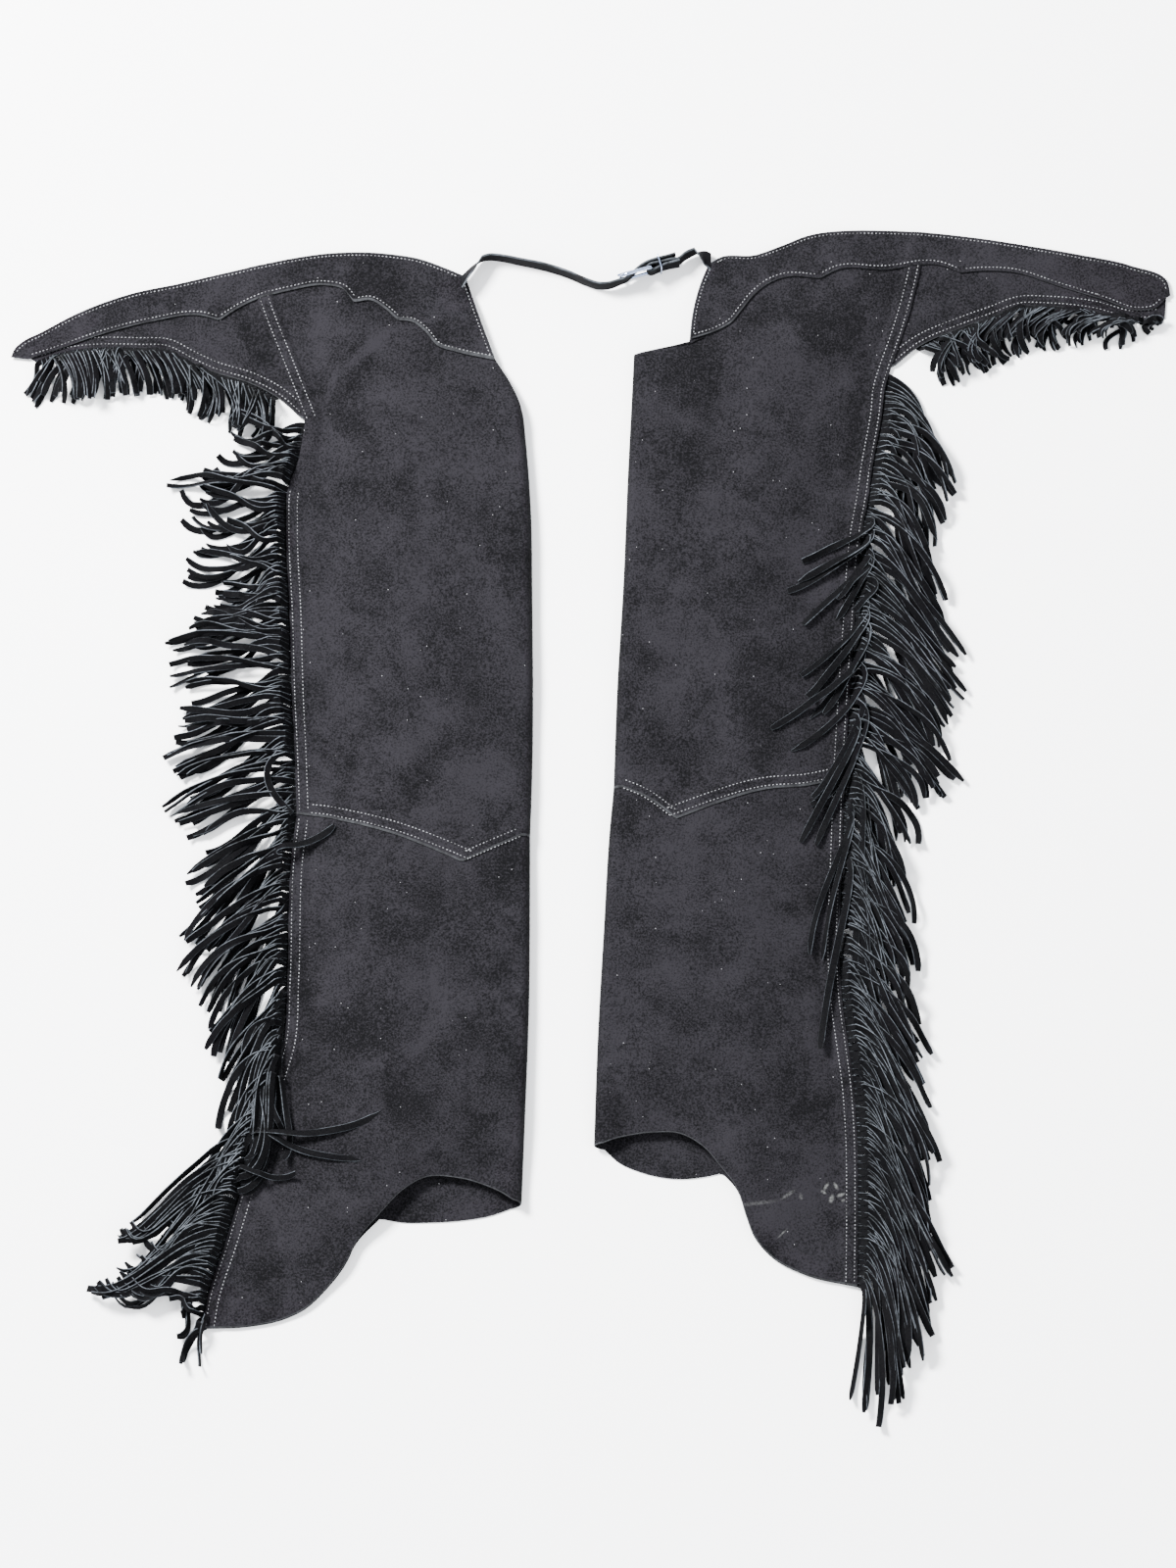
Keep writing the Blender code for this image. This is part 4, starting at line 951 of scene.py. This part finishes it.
# Marks on the face of the leather: x and y in mm, radius along and across, turn in degrees, strength
RUBBED = [(-228, 492, 44, 8, 42, 0.62), (-266, 452, 28, 5, 72, 0.45), (-280, 30, 60, 26, 80, 0.16),
          (-140, 300, 70, 46, 60, 0.15), (-130, 60, 50, 60, 10, 0.16), (-160, -180, 60, 40, 20, 0.14),
          (-200, 180, 90, 30, 70, 0.12), (60, 330, 50, 60, 30, 0.16), (210, 300, 60, 40, 100, 0.18),
          (240, 240, 40, 26, 60, 0.16), (100, 130, 70, 40, 20, 0.15), (190, -100, 50, 60, 40, 0.14),
          (90, -230, 60, 36, 160, 0.13), (200, -400, 40, 30, 20, 0.12), (-90, -320, 40, 24, 20, 0.12),
          (-520, 500, 30, 14, 10, 0.14), (480, 555, 60, 14, 175, 0.14), (-460, 510, 50, 12, 5, 0.12)]
STAINS = [(238.5, -363.5, 5.0, 1.9, 60, 0.85), (248.5, -362.5, 4.4, 2.0, 120, 0.80),
          (236, -369, 3.4, 1.6, 150, 0.75), (253.5, -371.5, 4.6, 2.0, 20, 0.75),
          (244, -375.5, 4.8, 2.6, 75, 0.85), (256, -377, 2.6, 1.6, 40, 0.55), (200, -372, 9, 2.0, 35, 0.42),
          (213, -374, 4, 2.0, 100, 0.32), (168, -381, 22, 2.2, 8, 0.22), (194, -411, 7, 1.0, 45, 0.55),
          (226, 262, 2.4, 1.6, 60, 0.5)]


def fed(tree, kind, settings, values):
    """Add a node whose inputs are numbers, colours or other nodes' outputs."""
    links = {name: value for name, value in values.items() if isinstance(value, bpy.types.NodeSocket)}
    fixed = {name: value for name, value in values.items() if name not in links}
    return add(tree, kind, {**settings, **fixed}, links)


def maths(tree, operation, *values):
    return fed(tree, "ShaderNodeMath", {"operation": operation},
                  {str(k): value for k, value in enumerate(values)}).outputs[0]


def mixed(tree, share, first, second):
    return fed(tree, "ShaderNodeMix", {"data_type": "RGBA"}, {"0": share, "6": first, "7": second}).outputs[2]


def ranged(tree, value, low, high, to_low=0.0, to_high=1.0, smooth="LINEAR"):
    """Spread the values from low to high over another range, and hold them at its ends."""
    return add(tree, "ShaderNodeMapRange", {
        "interpolation_type": smooth, "From Min": low, "From Max": high, "To Min": to_low, "To Max": to_high},
        {"Value": value}).outputs[0]


def noise(tree, spot, scale, detail, **more):
    return add(tree, "ShaderNodeTexNoise", {"Scale": scale, "Detail": detail, **more},
               {"Vector": spot}).outputs["Fac"]


def patches(tree, spot, rows):
    """Soft patches of a shade at places on the leather; the strongest one wins at each point."""
    total = None
    for x, y, long, wide, turn, strength in rows:
        place = add(tree, "ShaderNodeMapping", {
            "vector_type": "TEXTURE", "Location": (x * MM, y * MM * GRADE, 0),
            "Rotation": (0, 0, math.radians(turn)), "Scale": (long * MM, wide * MM, 0.2)}, {"Vector": spot})
        away = add(tree, "ShaderNodeVectorMath", {"operation": "LENGTH"}, {"0": place.outputs[0]})
        here = ranged(tree, away.outputs["Value"], 0.25, 1.25, strength, 0.0, "SMOOTHSTEP")
        total = here if total is None else maths(tree, "MAXIMUM", total, here)
    return total


def blank(name):
    """A new material: itself, its nodes, its shader, and the places on the object that wears it."""
    look = bpy.data.materials.new(name)
    look.use_nodes = True
    tree = look.node_tree
    return look, tree, tree.nodes["Principled BSDF"], add(tree, "ShaderNodeTexCoord").outputs["Object"]


def surface(tree, shader, values, height, strength, distance):
    """Give a shader its values, each a number, a colour or another node's output, and its bumps."""
    bump = add(tree, "ShaderNodeBump", {"Strength": strength, "Distance": distance}, {"Height": height})
    for name, value in {**values, "Normal": bump.outputs[0]}.items():
        if isinstance(value, bpy.types.NodeSocket):
            tree.links.new(value, shader.inputs[name])
        else:
            shader.inputs[name].default_value = value


def suede_look(name, dark, light, marks_and_painted_shade, nap_bump=0.5, lint=True, sheen=0.035):
    """Brushed suede split: a fine upright nap that drinks light, paler where it is rubbed one way; on the panels
    painted shade darkens it where its face turns down.
    """
    look, tree, shader, spot = blank(name)
    # soft clouds 20 to 80 mm across, where hands have turned the nap
    cloud = noise(tree, spot, 16.0, 4.0, Roughness=0.55, Distortion=0.4)
    blotch = noise(tree, spot, 62.0, 5.0, Roughness=0.6)
    # the nap's tufts are about 0.3 mm; they are drawn at 1.3 mm so that they show
    nap = noise(tree, spot, 500.0, 3.0, Roughness=0.75)
    total = maths(tree, "ADD", ranged(tree, cloud, 0.33, 0.70, -0.05, 0.80),
                  ranged(tree, blotch, 0.35, 0.70, 0.0, 0.30))
    total = maths(tree, "ADD", total, ranged(tree, nap, 0.36, 0.66, -0.60, 0.80))
    if marks_and_painted_shade:
        total = maths(tree, "ADD", total, patches(tree, spot, RUBBED))
    colour = mixed(tree, total, linear(dark), linear(light))
    if lint:
        # specks of lint 0.5 mm across, in one in seven of the cells
        cells = add(tree, "ShaderNodeTexVoronoi", {"Scale": 150.0, "Randomness": 1.0}, {"Vector": spot})
        speck = ranged(tree, cells.outputs["Distance"], 0.03, 0.075, 1.0, 0.0)
        chosen = add(tree, "ShaderNodeSeparateColor", None, {"0": cells.outputs["Color"]}).outputs[0]
        speck = maths(tree, "MULTIPLY", speck, maths(tree, "GREATER_THAN", chosen, 0.86))
        colour = mixed(tree, maths(tree, "MULTIPLY", speck, 0.75), colour, linear(LINT))
    if marks_and_painted_shade:
        rough = ranged(tree, nap, 0.35, 0.6, 0.25, 1.0)
        chalk = maths(tree, "MULTIPLY", patches(tree, spot, STAINS), rough)
        colour = mixed(tree, chalk, colour, linear(CHALK))
        # painted shade: the base colour is mixed towards black where the face turns down from upward, standing in
        # for the shade on the turned edges
        upward = add(tree, "ShaderNodeSeparateXYZ", None, {
            "0": add(tree, "ShaderNodeNewGeometry").outputs["Normal"]}).outputs[2]
        colour = mixed(tree, ranged(tree, upward, 0.30, 0.93, 0.25, 1.0), (0.0, 0.0, 0.0, 1.0), colour)
    surface(tree, shader, {"Base Color": colour, "Roughness": 0.95, "Specular IOR Level": 0.05,
                           "Sheen Weight": sheen, "Sheen Roughness": 0.45, "Sheen Tint": linear("#8c8c96")},
            maths(tree, "MULTIPLY_ADD", blotch, 1.4, nap), nap_bump, 0.0008)
    return look


def cut_look(name, dark, light):
    """Cut edge of chrome-tanned suede: the dye stops short, so the raw fibre shows grey."""
    look, tree, shader, spot = blank(name)
    fibre = noise(tree, spot, 300.0, 4.0, Roughness=0.7)
    worn = noise(tree, spot, 45.0, 2.0)
    share = ranged(tree, maths(tree, "MULTIPLY", fibre, worn), 0.14, 0.38)
    surface(tree, shader, {"Base Color": mixed(tree, share, linear(dark), linear(light)), "Roughness": 0.9,
                           "Specular IOR Level": 0.15}, fibre, 0.3, 0.0004)
    return look


def thread_look(name, dark, light):
    """Bonded polyester thread, three plies twisted: pale grey with a slight gloss on the twist."""
    look, tree, shader, spot = blank(name)
    soil = ranged(tree, noise(tree, spot, 90.0, 3.0), 0.35, 0.62)
    ply = noise(tree, spot, 1500.0, 2.0)
    surface(tree, shader, {"Base Color": mixed(tree, soil, linear(dark), linear(light)), "Roughness": 0.55},
            ply, 0.4, 0.0002)
    return look


def chrome_look(name, tint):
    """Chromium plate on a brass wire, polished, with the haze and small scuffs of use; the blue of its tint is a
    painted reflection of sky.
    """
    look, tree, shader, spot = blank(name)
    haze = noise(tree, spot, 220.0, 4.0)
    surface(tree, shader, {"Base Color": linear(tint), "Metallic": 1.0,
                           "Roughness": ranged(tree, haze, 0.3, 0.7, 0.05, 0.22)}, haze, 0.08, 0.0002)
    return look


def backdrop_look(name, colour):
    """Matt paper, with the faint tooth of uncoated stock."""
    look, tree, shader, spot = blank(name)
    surface(tree, shader, {"Base Color": colour, "Roughness": 1.0, "Specular IOR Level": 0.0},
            noise(tree, spot, 900.0, 2.0), 0.03, 0.0002)
    return look


class ChapsSizes(bpy.types.PropertyGroup):
    """Sizes of the leather, the fringe and the stitches."""

    strip_width: FloatProperty(name="Strip width", description="Width of a fringe strip", default=0.0069,
                               min=0.003, max=0.012, unit="LENGTH")
    strip_thick: FloatProperty(name="Strip thickness", description="Thickness of a fringe strip", default=0.0013,
                               min=0.0006, max=0.003, unit="LENGTH")
    strip_pitch: FloatProperty(name="Strip pitch", description="From one strip to the next along the seam",
                               default=0.0066, min=0.004, max=0.02, unit="LENGTH")
    strip_length: FloatProperty(name="Strip length", description="Length of a side strip, seam to tip",
                                default=0.128, min=0.05, max=0.2, unit="LENGTH")
    stitch_length: FloatProperty(name="Stitch length", description="Thread that shows in one stitch",
                                 default=0.0021, min=0.001, max=0.008, unit="LENGTH")
    stitch_pitch: FloatProperty(name="Stitch pitch", description="From one stitch to the next", default=0.0039,
                                min=0.002, max=0.01, unit="LENGTH")
    thread: FloatProperty(name="Thread", description="Thickness of the thread", default=0.0007, min=0.0003,
                          max=0.002, unit="LENGTH")
    seed: IntProperty(name="Fall", description="Another fall of the fringe", default=7, min=0)


class ChapsColours(bpy.types.PropertyGroup):
    """Strength of the lights and the surroundings, and the colour of the floor."""

    key: FloatProperty(name="Key light", description="Power of the main light, W", default=1950.0, min=0.0)
    fill: FloatProperty(name="Fill light", description="Power of the second light, W", default=130.0, min=0.0)
    sky: FloatProperty(name="Surroundings", description="Strength of the pale surroundings", default=2.4, min=0.0)
    floor: FloatVectorProperty(name="Floor", description="Colour of the floor", subtype="COLOR", size=3,
                               default=linear("#f4f4f4")[:3], min=0.0, max=1.0)




def looks():
    """Materials of the chaps by what they are."""
    found = bpy.data.materials
    if "Suede split, brushed black" not in found:
        # the panels' suede carries the stains, the rubbed patches and the painted shade where its face turns down
        suede_look("Suede split, brushed black", *SUEDE, marks_and_painted_shade=True)
        # painted shade: the fringe's suede is darker than the panels' to stand for the shade among the strips
        suede_look("Suede fringe strip, black", *FRINGE_WITH_PAINTED_SHADE, marks_and_painted_shade=False, lint=False, sheen=0.015)
        # painted shade: the strap's suede is darker than the panels' to stand for the shade on its upright face
        suede_look("Suede belt strap, black", *STRAP, marks_and_painted_shade=False, lint=False, nap_bump=0.35, sheen=0.015)
        cut_look("Cut suede edge, grey", *STRIP_CUT)
        cut_look("Cut panel edge, dark grey", *PANEL_CUT)
        thread_look("Bonded polyester thread, grey", *THREAD)
        chrome_look("Chrome-plated brass wire", CHROME_AND_SKY_TINT)
    return [found[name] for name in (
        "Suede split, brushed black", "Cut panel edge, dark grey", "Suede fringe strip, black",
        "Cut suede edge, grey", "Suede belt strap, black", "Bonded polyester thread, grey",
        "Chrome-plated brass wire")]


def placed(piece, slot, *nodes):
    """Put a finished piece on the one body and hide the nodes it stands for; slot is not used."""
    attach(piece, "root")
    if nodes:
        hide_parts(*nodes)
    return piece


class ChapsOperator(bpy.types.Operator):
    """What every step of building the chaps shares."""

    bl_options = {"REGISTER", "UNDO"}

    @staticmethod
    def sizes(context):
        return context.scene.chaps_sizes


class CHAPS_OT_fringe(ChapsOperator):
    """Side fringes, hip fringes and the strips that lie turned back over the legs"""

    bl_idname = "chaps.fringe"
    bl_label = "Fringe"

    def execute(self, context):
        suede, cut = looks()[2], looks()[3]
        sizes = self.sizes(context)
        both = legs()
        ground = Ground(both)
        seed = sizes.seed
        for leg, hip, side, turned in zip(both, (LEFT_HIP_TUFTS, RIGHT_HIP_TUFTS),
                                          (LEFT_SIDE_TUFTS, RIGHT_SIDE_TUFTS), (LEFT_TURNED, RIGHT_TURNED)):
            for kind, tufts, axis, fall in (("hip_fringe", hip, 0, "hanging"), ("side_fringe", side, 1, "hanging"),
                                            ("turned_fringe", turned, 1, "turned")):
                seed += 1
                strips = make_strips(f"{leg.name}_{kind}_strips", leg, tufts, axis, ground, [suede, cut], sizes,
                                     seed, fall)
                placed(strips, "fringe_suede", f"{leg.name}_{kind}")
        return {"FINISHED"}


class CHAPS_OT_legs(ChapsOperator):
    """Thigh, calf and hip panels and the yokes, each a wall of leather with its folds"""

    bl_idname = "chaps.legs"
    bl_label = "Leg panels"

    def execute(self, context):
        suede, cut = looks()[0], looks()[1]
        for leg in legs():
            for make, node in ((make_thigh, "thigh_panel"), (make_calf, "calf_panel"), (make_hip, "hip_panel"),
                               (make_yoke, "yoke")):
                placed(make(leg, [suede, cut]), "suede", f"{leg.name}_{node}")
        return {"FINISHED"}


class CHAPS_OT_stitches(ChapsOperator):
    """Thread along the seams, the yokes and the edges"""

    bl_idname = "chaps.stitches"
    bl_label = "Stitches"

    def execute(self, context):
        for leg in legs():
            placed(make_stitches(leg, looks()[5], self.sizes(context)), "thread")
        return {"FINISHED"}


class CHAPS_OT_belt(ChapsOperator):
    """Billet and buckle straps, standing on edge, with the wire buckle and its keeper"""

    bl_idname = "chaps.belt"
    bl_label = "Front belt"

    def execute(self, context):
        strap, cut, chrome = looks()[4], looks()[3], looks()[6]
        free = list(graded(BILLET_FREE)) + [from_buckle(*p) for p in BILLET_THROUGH]
        placed(make_strap("belt_billet_strap", free, [strap, cut]), "belt_leather", "belt_billet")
        bend = [from_buckle(HEEL_ALONG - HEEL_TURN * math.sin(a), HEEL_TURN * math.cos(a))
                for a in np.linspace(0, math.pi, 9)[1:-1]]
        held = (list(graded(BUCKLE_STRAP_FREE)) + [from_buckle(*p) for p in BUCKLE_STRAP_HELD] + bend
                + [from_buckle(*p) for p in BUCKLE_STRAP_RETURN])
        placed(make_strap("belt_buckle_end", held, [strap, cut]), "belt_leather", "belt_buckle_strap")
        along, high, ring = HEEL_ALONG, BUCKLE_HIGH / 2 - BUCKLE_WIRE, []
        for k in range(72):
            c, s = math.cos(2 * math.pi * k / 72), math.sin(2 * math.pi * k / 72)
            roundness = 0.25 if c > 0 else 0.6
            ring.append(buckle_point(along * math.copysign(abs(c) ** roundness, c), 0.0,
                                     high * math.copysign(abs(s) ** roundness, s)))
        placed(make_wire("buckle_wire_frame", ring, BUCKLE_WIRE, chrome, True), "buckle_chrome", "buckle_frame")
        prong = sampled([buckle_point(*p) for p in PRONG], np.linspace(0, 1, 30))
        placed(make_wire("buckle_wire_prong", prong, PRONG_WIRE, chrome, False), "buckle_chrome", "buckle_prong")
        corners = [(KEEPER_IN, -KEEPER_ROOM), (KEEPER_OUT, -KEEPER_ROOM),
                   (KEEPER_OUT, STRAP_WIDTH + KEEPER_ROOM), (KEEPER_IN, STRAP_WIDTH + KEEPER_ROOM)]
        loop = [belt_point(from_buckle(KEEPER_ALONG, a[0] + t * (b[0] - a[0])), a[1] + t * (b[1] - a[1]))
                for a, b in zip(corners, corners[1:] + corners[:1]) for t in (0.07, 0.2, 0.5, 0.8, 0.93)]
        placed(make_wire("belt_wire_keeper", loop, KEEPER_WIRE, chrome, True), "buckle_chrome", "belt_keeper")
        return {"FINISHED"}


class CHAPS_OT_declare(ChapsOperator):
    """Step left empty: it declares no sheet and records no cut size"""

    bl_idname = "chaps.declare"
    bl_label = "Declare the sheets"

    def execute(self, context):
        return {"FINISHED"}


class CHAPS_OT_stage(ChapsOperator):
    """Pale floor, soft light from the upper left, and a camera high above the hems"""

    bl_idname = "chaps.stage"
    bl_label = "Stage"

    def execute(self, context):
        light = context.scene.chaps_colours
        bpy.ops.object.select_all(action="DESELECT")
        bpy.ops.mesh.primitive_plane_add(size=40, location=(0, 0, 0))
        floor = context.object
        floor.name = "floor"
        floor.data.materials.append(backdrop_look("Backdrop paper, white", (*light.floor, 1)))
        world = context.scene.world or bpy.data.worlds.new("Surroundings")
        context.scene.world = world
        world.use_nodes = True
        world.node_tree.nodes["Background"].inputs["Color"].default_value = linear("#f2f5fa")
        world.node_tree.nodes["Background"].inputs["Strength"].default_value = light.sky
        for name, place, size, power in (("key", (-2.8, 2.2, 3.4), 1.3, light.key),
                                         ("fill", (1.8, -2.2, 2.6), 2.6, light.fill)):
            data = bpy.data.lights.new(name, "AREA")
            data.energy, data.size = power, size
            lamp = bpy.data.objects.new(name, data)
            context.scene.collection.objects.link(lamp)
            lamp.location = place
            lamp.rotation_euler = (Vector((0, 0, 0)) - Vector(place)).to_track_quat("-Z", "Y").to_euler()
            lamp.visible_camera = False
        data = bpy.data.cameras.new("camera")
        data.lens, data.sensor_width, data.sensor_fit = LENS, 36.0, "AUTO"
        data.clip_end = 100.0
        camera = bpy.data.objects.new("camera", data)
        context.scene.collection.objects.link(camera)
        tilt = math.radians(ELEVATION)
        back = Vector((0, -math.cos(tilt), math.sin(tilt)))
        camera.location = Vector(AIM) + back * DISTANCE
        camera.rotation_euler = (-back).to_track_quat("-Z", "Y").to_euler()
        context.scene.camera = camera
        return {"FINISHED"}


# The camera stands far off, so that the sides of the garment stay parallel
ELEVATION, DISTANCE, AIM = 76.0, 20.0, (-0.003, 0.0484, 0.0)
LENS = 36.0 * DISTANCE / 1.6


class CHAPS_PT_sidebar(bpy.types.Panel):
    """Steps of building the chaps, in order"""

    bl_idname = "CHAPS_PT_sidebar"
    bl_label = "Chaps"
    bl_space_type = "VIEW_3D"
    bl_region_type = "UI"
    bl_category = "Chaps"

    def draw(self, context):
        column = self.layout.column()
        for name in ("strip_width", "strip_thick", "strip_pitch", "strip_length", "stitch_length",
                     "stitch_pitch", "thread", "seed"):
            column.prop(context.scene.chaps_sizes, name)
        for name in ("key", "fill", "sky", "floor"):
            column.prop(context.scene.chaps_colours, name)
        for step in STEPS:
            column.operator(step.bl_idname)


STEPS = (CHAPS_OT_stage, CHAPS_OT_fringe, CHAPS_OT_legs, CHAPS_OT_stitches, CHAPS_OT_belt, CHAPS_OT_declare)
CLASSES = (ChapsSizes, ChapsColours, CHAPS_PT_sidebar, *STEPS)


def register():
    for made in CLASSES:
        bpy.utils.register_class(made)
    bpy.types.Scene.chaps_sizes = PointerProperty(type=ChapsSizes)
    bpy.types.Scene.chaps_colours = PointerProperty(type=ChapsColours)


def unregister():
    del bpy.types.Scene.chaps_colours, bpy.types.Scene.chaps_sizes
    for made in reversed(CLASSES):
        bpy.utils.unregister_class(made)


def main():
    register()
    for step in STEPS:
        getattr(bpy.ops.chaps, step.bl_idname.split(".")[1])()


if __name__ == "__main__":
    main()
